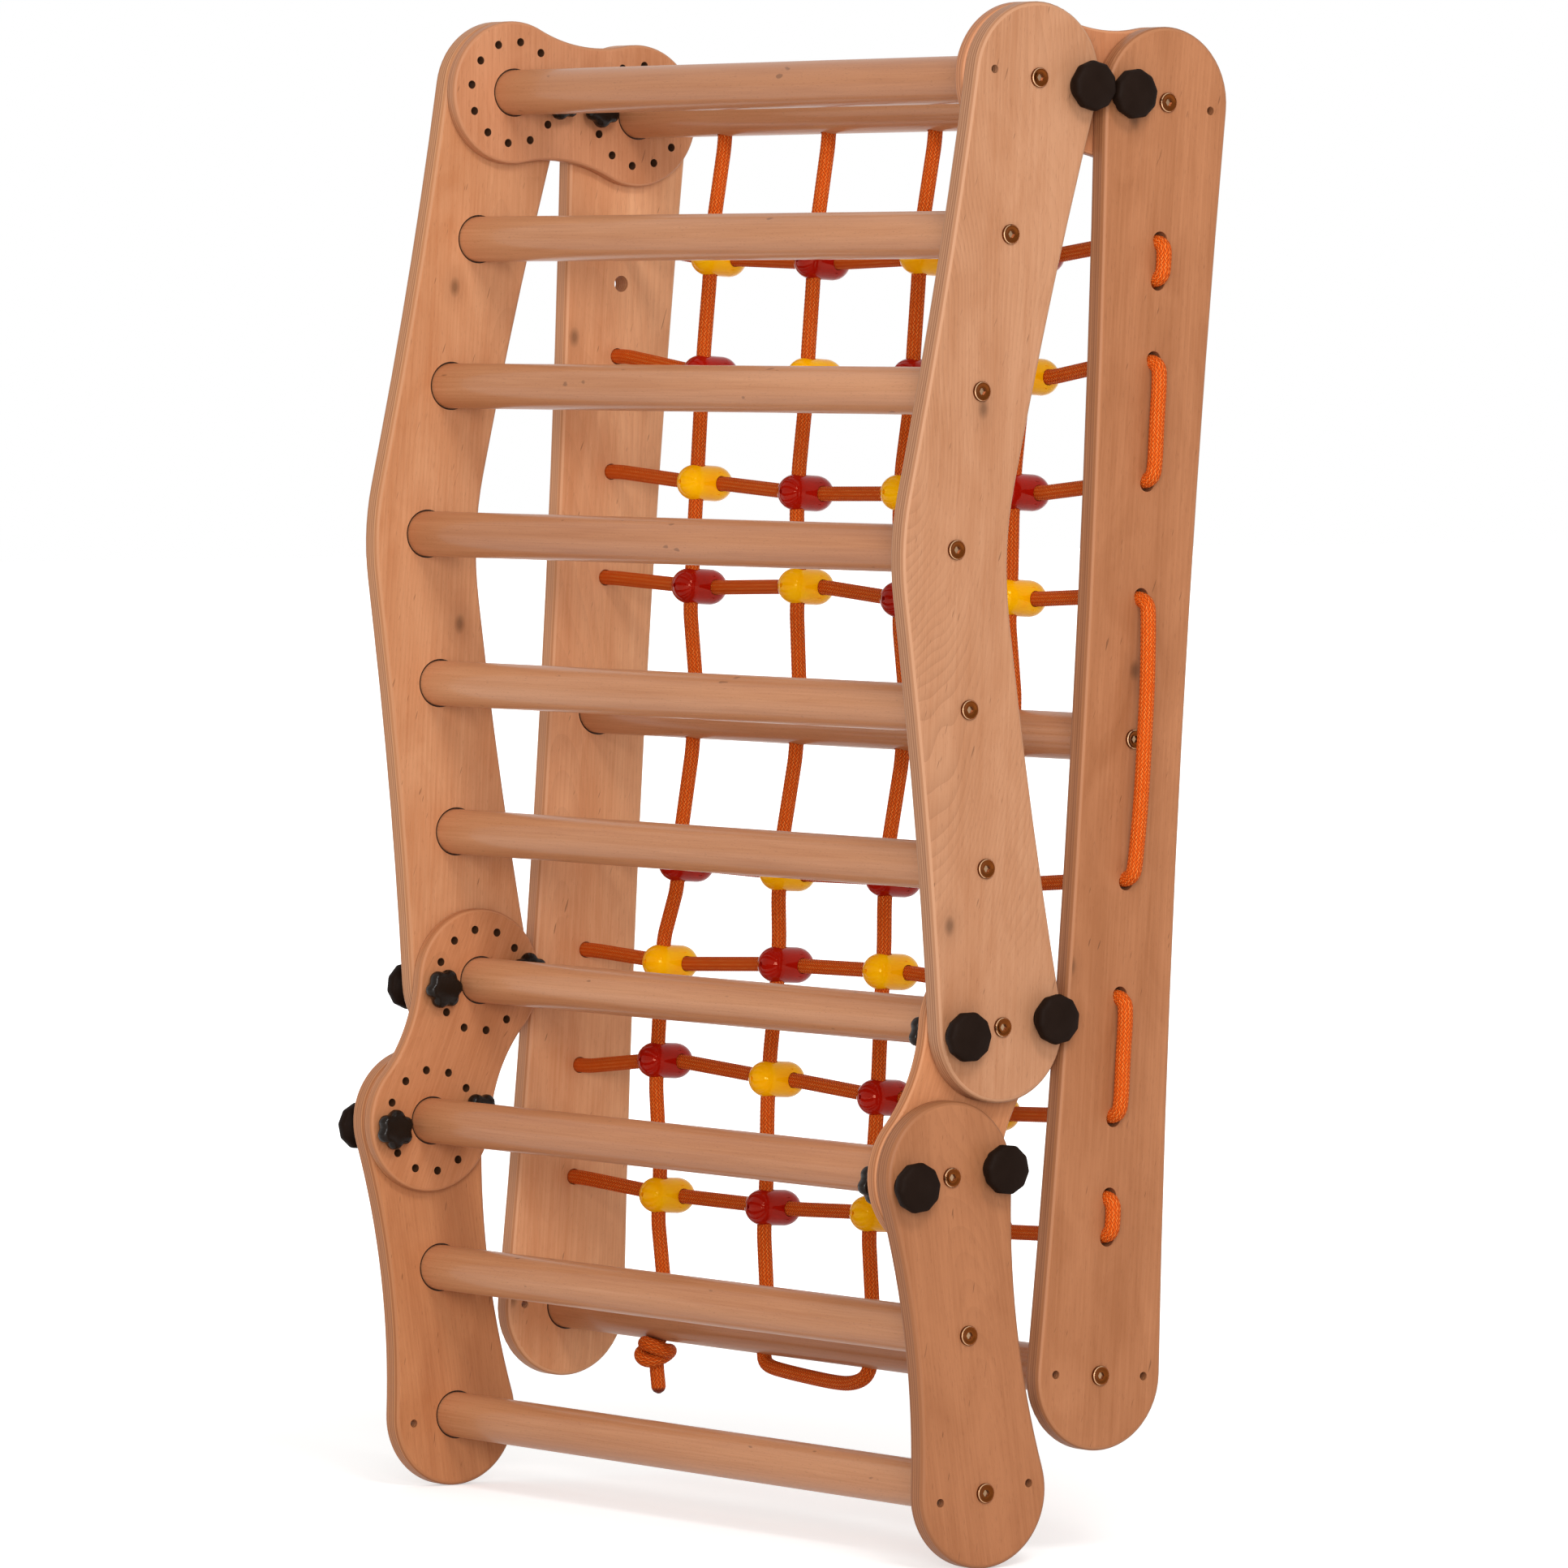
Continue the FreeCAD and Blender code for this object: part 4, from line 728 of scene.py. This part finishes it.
# Each row's crossings: how far they hang below the holes, and drift from their columns
DROP = 15 * MM
DROP_SHARES = [(0.8, 1.0, 0.8, 0.7), (0.9, 1.0, 1.0, 0.9), (0.5, 0.9, 0.8, 0.6),
               (0.3, 0.1, 0.6, 0.3), (0.7, 0.8, 0.7, 0.5), (0.3, -0.1, -0.2, 0.1),
               (-0.7, -0.3, 0.1, 0.3), (0.4, 0.4, 0.1, 0.3)]
COLUMNS = 4
COLUMN_SPACING = 146 * MM
DRIFT_SHARES = [(0.02, 0.02, 0.01, 0), (0, 0.01, 0, 0.01), (0, -0.02, -0.05, -0.02),
                (0, 0.03, 0, 0), (0.02, 0, 0, 0), (-0.09, 0.03, 0.02, 0),
                (-0.09, 0, 0.03, 0.01), (0, 0.03, 0.02, 0)]
# The ropes: their radius, their sides at a crossing and how beads and rungs guide them
ROPE_RADIUS = 5.9 * MM
UPRIGHT_ASIDE = -9.5 * MM
ACROSS_ASIDE = 5.5 * MM
BEAD_GUIDE = 18 * MM
RUNG_GUIDE = 25 * MM
LEAD = 16 * MM
# Over the top rung: height of the rope's middle, and the bends from the hole to the flat run
OVER_RISE = 7.5 * MM
OVER_DIP = 0.5 * MM
OVER_BEND = 13 * MM
OVER_BEND_SHARE = 0.15
# Through a panel: how far a row is led on both sides of the inner face
INSIDE_LEAD = 14 * MM
HOLE_LEAD = 4 * MM
# Stitches outside a panel: spans that count as short or long, and how far each stands off
SHORT_SPAN = 60 * MM
LONG_SPAN = 150 * MM
SHORT_RISE, MIDDLE_RISE, LONG_RISE = 6.4 * MM, 8.2 * MM, 14 * MM
HOLE_DEPTH = 13 * MM
STITCH_SLACK = 3 * MM
HOLE_SLACK_SHARE = 0.3
EDGE_SHARE, EDGE_MOST = 0.85, 8.5 * MM
SHOULDER_SHARE, SHOULDER_MOST = 1.08, 11 * MM
SHOULDER_INSET = 17 * MM
FLAT_INSET = 65 * MM

column_xs = [COLUMN_SPACING * (number - (COLUMNS - 1) / 2) for number in range(COLUMNS)]
hole_stations = [HALF_LENGTH * (1 - share) for share in reversed(HOLE_SHARES)]
hole_stations += [HALF_LENGTH * (1 + share) for share in HOLE_SHARES]
anchors = [hole_stations[hole] for hole in ANCHOR_HOLES]
rows = [hole_stations[hole] for hole in ROW_HOLES]
crossings = []
for row, drops, drifts in zip(rows, DROP_SHARES, DRIFT_SHARES):
    crossings.append([(x + drift * COLUMN_SPACING, row + drop * DROP)
                      for x, drop, drift in zip(column_xs, drops, drifts)])


def net(x, along, aside=0.0):
    """Place of a point by X, distance down from the top pivot and distance to the rear."""
    place = top_rear + rear_down * along + rear_normal * aside
    place.x = x
    return place


def toward(start, end):
    return start + (end - start).normalized() * LEAD


def run_through(stops):
    """Guides through beads and rungs, each with a lead on the run that leaves it."""
    points = [*stops[0]]
    for before, after in zip(stops, stops[1:]):
        points += [toward(before[1], after[0]), toward(after[0], before[1]), *after]
    return points


def column_points(column):
    """One upright, from inside the top rung down to inside the bottom rung."""
    x = column_xs[column]
    stops = [(net(x, 0), net(x, RUNG_GUIDE))]
    for number, row in enumerate(crossings):
        if number == len(crossings) // 2:
            stops.append((net(x, HALF_LENGTH - RUNG_GUIDE), net(x, HALF_LENGTH + RUNG_GUIDE)))
        spot, along = row[column]
        stops.append((net(spot, along - BEAD_GUIDE, UPRIGHT_ASIDE),
                      net(spot, along + BEAD_GUIDE, UPRIGHT_ASIDE)))
    stops.append((net(x, rear_length - RUNG_GUIDE), net(x, rear_length)))
    return run_through(stops)


# Overhand knot in millimetres: to the right, towards the viewer and along the rope
KNOT = [(0, 0, -10), (-1, -1, 0), (-6, -3.5, 4.5), (-13, -3, 8), (-16.5, 2, 11.5),
        (-12, 7, 15.5), (-4.5, 6.5, 15.5), (1, 2, 13.5), (5.5, -3.5, 11), (7.5, 0.5, 8),
        (6, 9, 8), (-1.5, 13.5, 5.5), (-9.5, 13.5, 2.5), (-14, 4, 1.5), (-9.5, -8, 5),
        (-3.5, -10, 11), (-3, -5, 17.5), (-2.2, -1, 25), (-0.8, 0.5, 33), (0.3, 1, 42.5)]
VIEW_RIGHT = Vector((0.562, 0.827, 0))
VIEW_NEAR = Vector((0.827, -0.562, 0))
INWARD = Vector((-1, 0, 0))
# Slack loop under the bottom rung, between the two middle columns, in millimetres
LOOP = [(-73, 12), (-73, 22), (-66, 27), (-45, 29), (-10, 31), (25, 32.5), (48, 32), (66, 27),
        (73, 19), (73, 12)]


def knot_points(start, right, near, axis):
    """From the standing rope to the tail. The start lies where the rope leaves its hole."""
    return [start + (right * x + near * y + axis * z) * MM for x, y, z in KNOT]


def over_top(first, second):
    """Across the top rung, from one column's hole to the next one's."""
    low, high = -RUNG_RADIUS, -RUNG_RADIUS - OVER_RISE
    inner = (second - first) / abs(second - first) * OVER_BEND
    return [net(first, low), net(first + inner * OVER_BEND_SHARE, high),
            net(first + inner, high - OVER_DIP), net(second - inner, high - OVER_DIP),
            net(second - inner * OVER_BEND_SHARE, high), net(second, low)]


def stitch(side, start, end):
    """Outside a rear panel, from one hole to the next: the longer, the further it bows out."""
    sense = 1 if end > start else -1
    span = abs(end - start)
    height = SHORT_RISE if span < SHORT_SPAN else MIDDLE_RISE if span < LONG_SPAN else LONG_RISE
    edge = min(height * EDGE_SHARE, EDGE_MOST)
    shoulder = min(height * SHOULDER_SHARE, SHOULDER_MOST)
    # Offset from the face and distance from the hole, for the first half of the stitch
    half = [(-HOLE_DEPTH, STITCH_SLACK * HOLE_SLACK_SHARE), (edge, STITCH_SLACK)]
    if span > SHORT_SPAN:
        half.append((shoulder, SHOULDER_INSET))
    if span > LONG_SPAN:
        half.append((height, FLAT_INSET))
    points = [(off, start + inset * sense) for off, inset in half]
    points.append((height, (start + end) / 2))
    points += [(off, end - inset * sense) for off, inset in reversed(half)]
    return [net(side * (HALF_WIDTH + off), along) for off, along in points]


def row_points(number):
    """One row of the net, from inside one rear panel to inside the other."""
    side = 1 if number % 2 == 0 else -1
    outside, inside = side * (PANEL_INNER + HOLE_LEAD), side * (PANEL_INNER - INSIDE_LEAD)
    row = rows[number]
    stops = [(net(outside, row), net(inside, row))]
    for x, along in sorted(crossings[number], key=lambda spot: -side * spot[0]):
        stops.append((net(x + side * BEAD_GUIDE, along, ACROSS_ASIDE),
                      net(x - side * BEAD_GUIDE, along, ACROSS_ASIDE)))
    stops.append((net(-inside, row), net(-outside, row)))
    return run_through(stops)


# Upright rope: knot, column, over the top, column, slack loop and the same again
below = rear_length + RUNG_RADIUS
upright = knot_points(net(column_xs[0], below), VIEW_RIGHT, VIEW_NEAR, rear_down)[::-1]
upright += column_points(0)[::-1] + over_top(column_xs[0], column_xs[1]) + column_points(1)
upright += [net(x * MM, rear_length + along * MM) for x, along in LOOP]
upright += column_points(2)[::-1] + over_top(column_xs[2], column_xs[3]) + column_points(3)
upright += knot_points(net(column_xs[3], below), VIEW_RIGHT, VIEW_NEAR, rear_down)

# Rope across: knot inside the right panel, stitches and rows in turn, knot
across = knot_points(net(PANEL_INNER, anchors[0]), -rear_normal, -rear_down, INWARD)[::-1]
across += stitch(1, anchors[0], rows[0])
for number in range(len(rows)):
    if number:
        across += stitch(1 if number % 2 == 0 else -1, rows[number - 1], rows[number])
    across += row_points(number)
across += stitch(1, rows[-1], anchors[1])
across += knot_points(net(PANEL_INNER, anchors[1]), -rear_normal, -rear_down, INWARD)

# Mesh of the ropes: vertices round the rope, two to each row of stitches, the valleys between
# the rows, the least radius at an end, and the strips of the unrolled rope
AROUND = 2 * BRAID_ROWS
CURVE_STEPS = 12
SAME_PLACE = 1e-7
FIRST_SIDE = (0.31, 0.87, 0.39)
VALLEY_SHARE, VALLEY_DEPTH = 0.5, 0.1
END_LEAST = 0.02
STRIP = 0.46
STRIP_SPARE = 1.01
STRIP_MARGIN = 0.02


def spline_points(name, control):
    """Points of the smooth line that these control points lead."""
    curve = bpy.data.curves.new(name + "_line", "CURVE")
    curve.dimensions = "3D"
    spline = curve.splines.new("NURBS")
    spline.points.add(len(control) - 1)
    for point, place in zip(spline.points, control):
        point.co = (*place, 1)
    spline.order_u = 3
    spline.use_endpoint_u = True
    curve.resolution_u = CURVE_STEPS
    line = bpy.data.objects.new(name + "_line", curve)
    mesh = bpy.data.meshes.new_from_object(line)
    points = np.array([vertex.co for vertex in mesh.vertices])
    bpy.data.objects.remove(line)
    steps = np.linalg.norm(np.diff(points, axis=0), axis=1)
    return points[np.concatenate([[True], steps > SAME_PLACE])]


def even_points(line):
    """Points in even steps along a line, one to a ring of vertices, and how far along each is."""
    steps = np.linalg.norm(np.diff(line, axis=0), axis=1)
    reach = np.concatenate([[0], np.cumsum(steps)])
    rings = int(round(reach[-1] / BRAID_PITCH * BRAID_RINGS)) + 1
    far = np.linspace(0, reach[-1], rings)
    return np.stack([np.interp(far, reach, line[:, axis]) for axis in range(3)], axis=1), far


def carried_frames(points):
    """Side directions that don't twist along the line, and those square to them."""
    tangents = np.gradient(points, axis=0)
    tangents /= np.linalg.norm(tangents, axis=1)[:, None]
    sides = np.empty_like(tangents)
    side = np.cross(tangents[0], FIRST_SIDE)
    for number, tangent in enumerate(tangents):
        side = side - tangent * side.dot(tangent)
        side /= math.sqrt(side.dot(side))
        sides[number] = side
    return sides, np.cross(tangents, sides)


def rope_vertices(points, far):
    """Rings of vertices round the line: raised at each stitch and rounded at both ends."""
    sides, others = carried_frames(points)
    across_rows = np.arange(AROUND) / 2
    odd = np.floor(across_rows) % 2
    local = across_rows % 1
    slant = np.abs(odd - local) * BRAID_SLANT + odd * BRAID_OFFSET
    along = np.arange(len(far)) / BRAID_RINGS
    rise = np.abs(np.sin(math.pi * (along[:, None] + slant[None, :])))
    rise = np.where(local[None, :] > 0, rise, rise * VALLEY_SHARE - VALLEY_DEPTH)
    end_gap = np.minimum(far, far[-1] - far) / ROPE_RADIUS
    round_end = np.sqrt(1 - (1 - np.clip(end_gap, END_LEAST, 1)) ** 2)
    radius = (ROPE_RADIUS - BRAID_RISE + rise * BRAID_RISE) * round_end[:, None]
    turns = np.arange(AROUND) / AROUND * 2 * math.pi
    ring = (sides[:, None, :] * np.cos(turns)[None, :, None]
            + others[:, None, :] * np.sin(turns)[None, :, None])
    return (points[:, None, :] + ring * radius[:, :, None]).reshape(-1, 3)


def tube_mesh(name, vertices, row, column, last):
    """A closed tube from rings of vertices: four-sided faces in rows and a cap at each end."""
    after = (column + 1) % AROUND
    faces = np.stack([row * AROUND + column, row * AROUND + after, (row + 1) * AROUND + after,
                      (row + 1) * AROUND + column], axis=-1).reshape(-1, 4)
    around = np.arange(AROUND)
    corners = np.concatenate([faces.ravel(), around[::-1], last * AROUND + around])
    starts = np.concatenate([np.arange(len(faces)) * 4, len(faces) * 4 + np.arange(2) * AROUND])
    mesh = bpy.data.meshes.new(name)
    mesh.vertices.add(len(vertices))
    mesh.vertices.foreach_set("co", vertices.ravel())
    mesh.loops.add(len(corners))
    mesh.loops.foreach_set("vertex_index", corners)
    mesh.polygons.add(len(starts))
    mesh.polygons.foreach_set("loop_start", starts)
    mesh.update(calc_edges=True)
    return mesh


def add_rope_maps(mesh, row, column, far):
    """One map holds the place in the braid, the other the unrolled rope in strips side by side."""
    last = len(far) - 1
    column_ends = np.stack([column, column + 1, column + 1, column], axis=-1).reshape(-1)
    row_ends = np.stack([row, row, row + 1, row + 1], axis=-1).reshape(-1)
    strip = np.floor(np.repeat(far[row.reshape(-1)], 4) / STRIP)
    in_strip = far[row_ends] - strip * STRIP
    strips = math.floor(far[-1] / STRIP) + 1
    inside = STRIP_MARGIN + (1 - 2 * STRIP_MARGIN) * column_ends / AROUND
    braid = np.zeros((len(mesh.loops), 2))
    unrolled = np.zeros((len(mesh.loops), 2))
    walls = slice(len(row_ends))
    braid[walls, 0] = column_ends / 2
    braid[walls, 1] = row_ends / BRAID_RINGS
    braid[-AROUND:, 1] = last / BRAID_RINGS
    unrolled[walls, 0] = (strip + inside) / strips
    unrolled[walls, 1] = in_strip / (STRIP * STRIP_SPARE)
    for title, values in (("braid", braid), ("OFBake", unrolled)):
        layer = mesh.uv_layers.new(name=title)
        layer.data.foreach_set("uv", values.ravel())


def braided_rope(name, control, node):
    """A rope of the net along its smooth line, in the place of the plain one."""
    points, far = even_points(spline_points(name, control))
    last = len(far) - 1
    row, column = np.meshgrid(np.arange(last), np.arange(AROUND), indexing="ij")
    mesh = tube_mesh(name, rope_vertices(points, far), row, column, last)
    add_rope_maps(mesh, row, column, far)
    mesh.validate()
    mesh.shade_smooth()
    mesh.materials.append(braided(name + "_braid", last / BRAID_RINGS))
    piece = add_object(name, mesh)
    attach(piece, "rear_ladder")
    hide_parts(node)
    print("%s: %.3f m along its smooth line" % (name, far[-1]))


braided_rope("net_rope_upright", upright, "upright_rope")
braided_rope("net_rope_across", across, "cross_rope")

# Pale floor that turns white further out, and the background, both white to the camera
FLOOR_REACH = 30.0
FLOOR_DROP = 0.2 * MM
FLOOR_COLOUR = (0.8, 0.8, 0.8, 1)
LIFT_NEAR, LIFT_FAR = 0.7, 2.2
LIFT_LEAST = 0.49
SKY_COLOUR = (1.0, 0.99, 0.97, 1)
SKY_STRENGTH = 0.6
WHITE = (1, 1, 1, 1)
# Soft disc lamps: place, size and power
LAMPS = {"key": ((4.4, -1.5, 3.6), 1.4, 92), "fill": ((5.0, -3.4, 1.5), 2.2, 170)}
LAMP_TARGET = Vector((0, 0, 0.6))


def add_floor():
    sheet = bpy.data.meshes.new("floor")
    corners = [(-1, -1), (1, -1), (1, 1), (-1, 1)]
    sheet.from_pydata([(x * FLOOR_REACH, y * FLOOR_REACH, 0) for x, y in corners], [],
                      [(0, 1, 2, 3)])
    floor = add_object("floor", sheet)
    floor.location.z = cad_box[0].z - FLOOR_DROP
    material = bpy.data.materials.new("floor_white")
    material.use_nodes = True
    material.node_tree.nodes.clear()
    tree = Nodes(material.node_tree)
    away = tree.length(tree.add("TexCoord").outputs["Object"])
    lift = tree.range(away, LIFT_NEAR, LIFT_FAR, LIFT_LEAST, 1.0, interpolation_type="SMOOTHSTEP")
    lift = tree.math("MULTIPLY", tree.in_view(), lift)
    glow = tree.add("Emission", {"Strength": lift}).outputs[0]
    matt = tree.add("BsdfDiffuse", {0: FLOOR_COLOUR}).outputs[0]
    total = tree.add("AddShader", {0: matt, 1: glow}).outputs[0]
    tree.add("OutputMaterial", {0: total})
    sheet.materials.append(material)


def add_sky():
    world = bpy.data.worlds.new("studio")
    bpy.context.scene.world = world
    world.use_nodes = True
    world.node_tree.nodes.clear()
    tree = Nodes(world.node_tree)
    soft = tree.add("Background", {0: SKY_COLOUR, 1: SKY_STRENGTH}).outputs[0]
    white = tree.add("Background", {0: WHITE}).outputs[0]
    mix = tree.add("MixShader", {0: tree.in_view(), 1: soft, 2: white}).outputs[0]
    tree.add("OutputWorld", {0: mix})


def add_lamp(name, place, size, power):
    light = bpy.data.lights.new(name, "AREA")
    light.shape = "DISK"
    light.size = size
    light.energy = power
    item = add_object(name, light)
    item.location = place
    item.rotation_euler = (LAMP_TARGET - Vector(place)).to_track_quat("-Z", "Y").to_euler()


add_floor()
add_sky()
for name, lamp in LAMPS.items():
    add_lamp(name, *lamp)
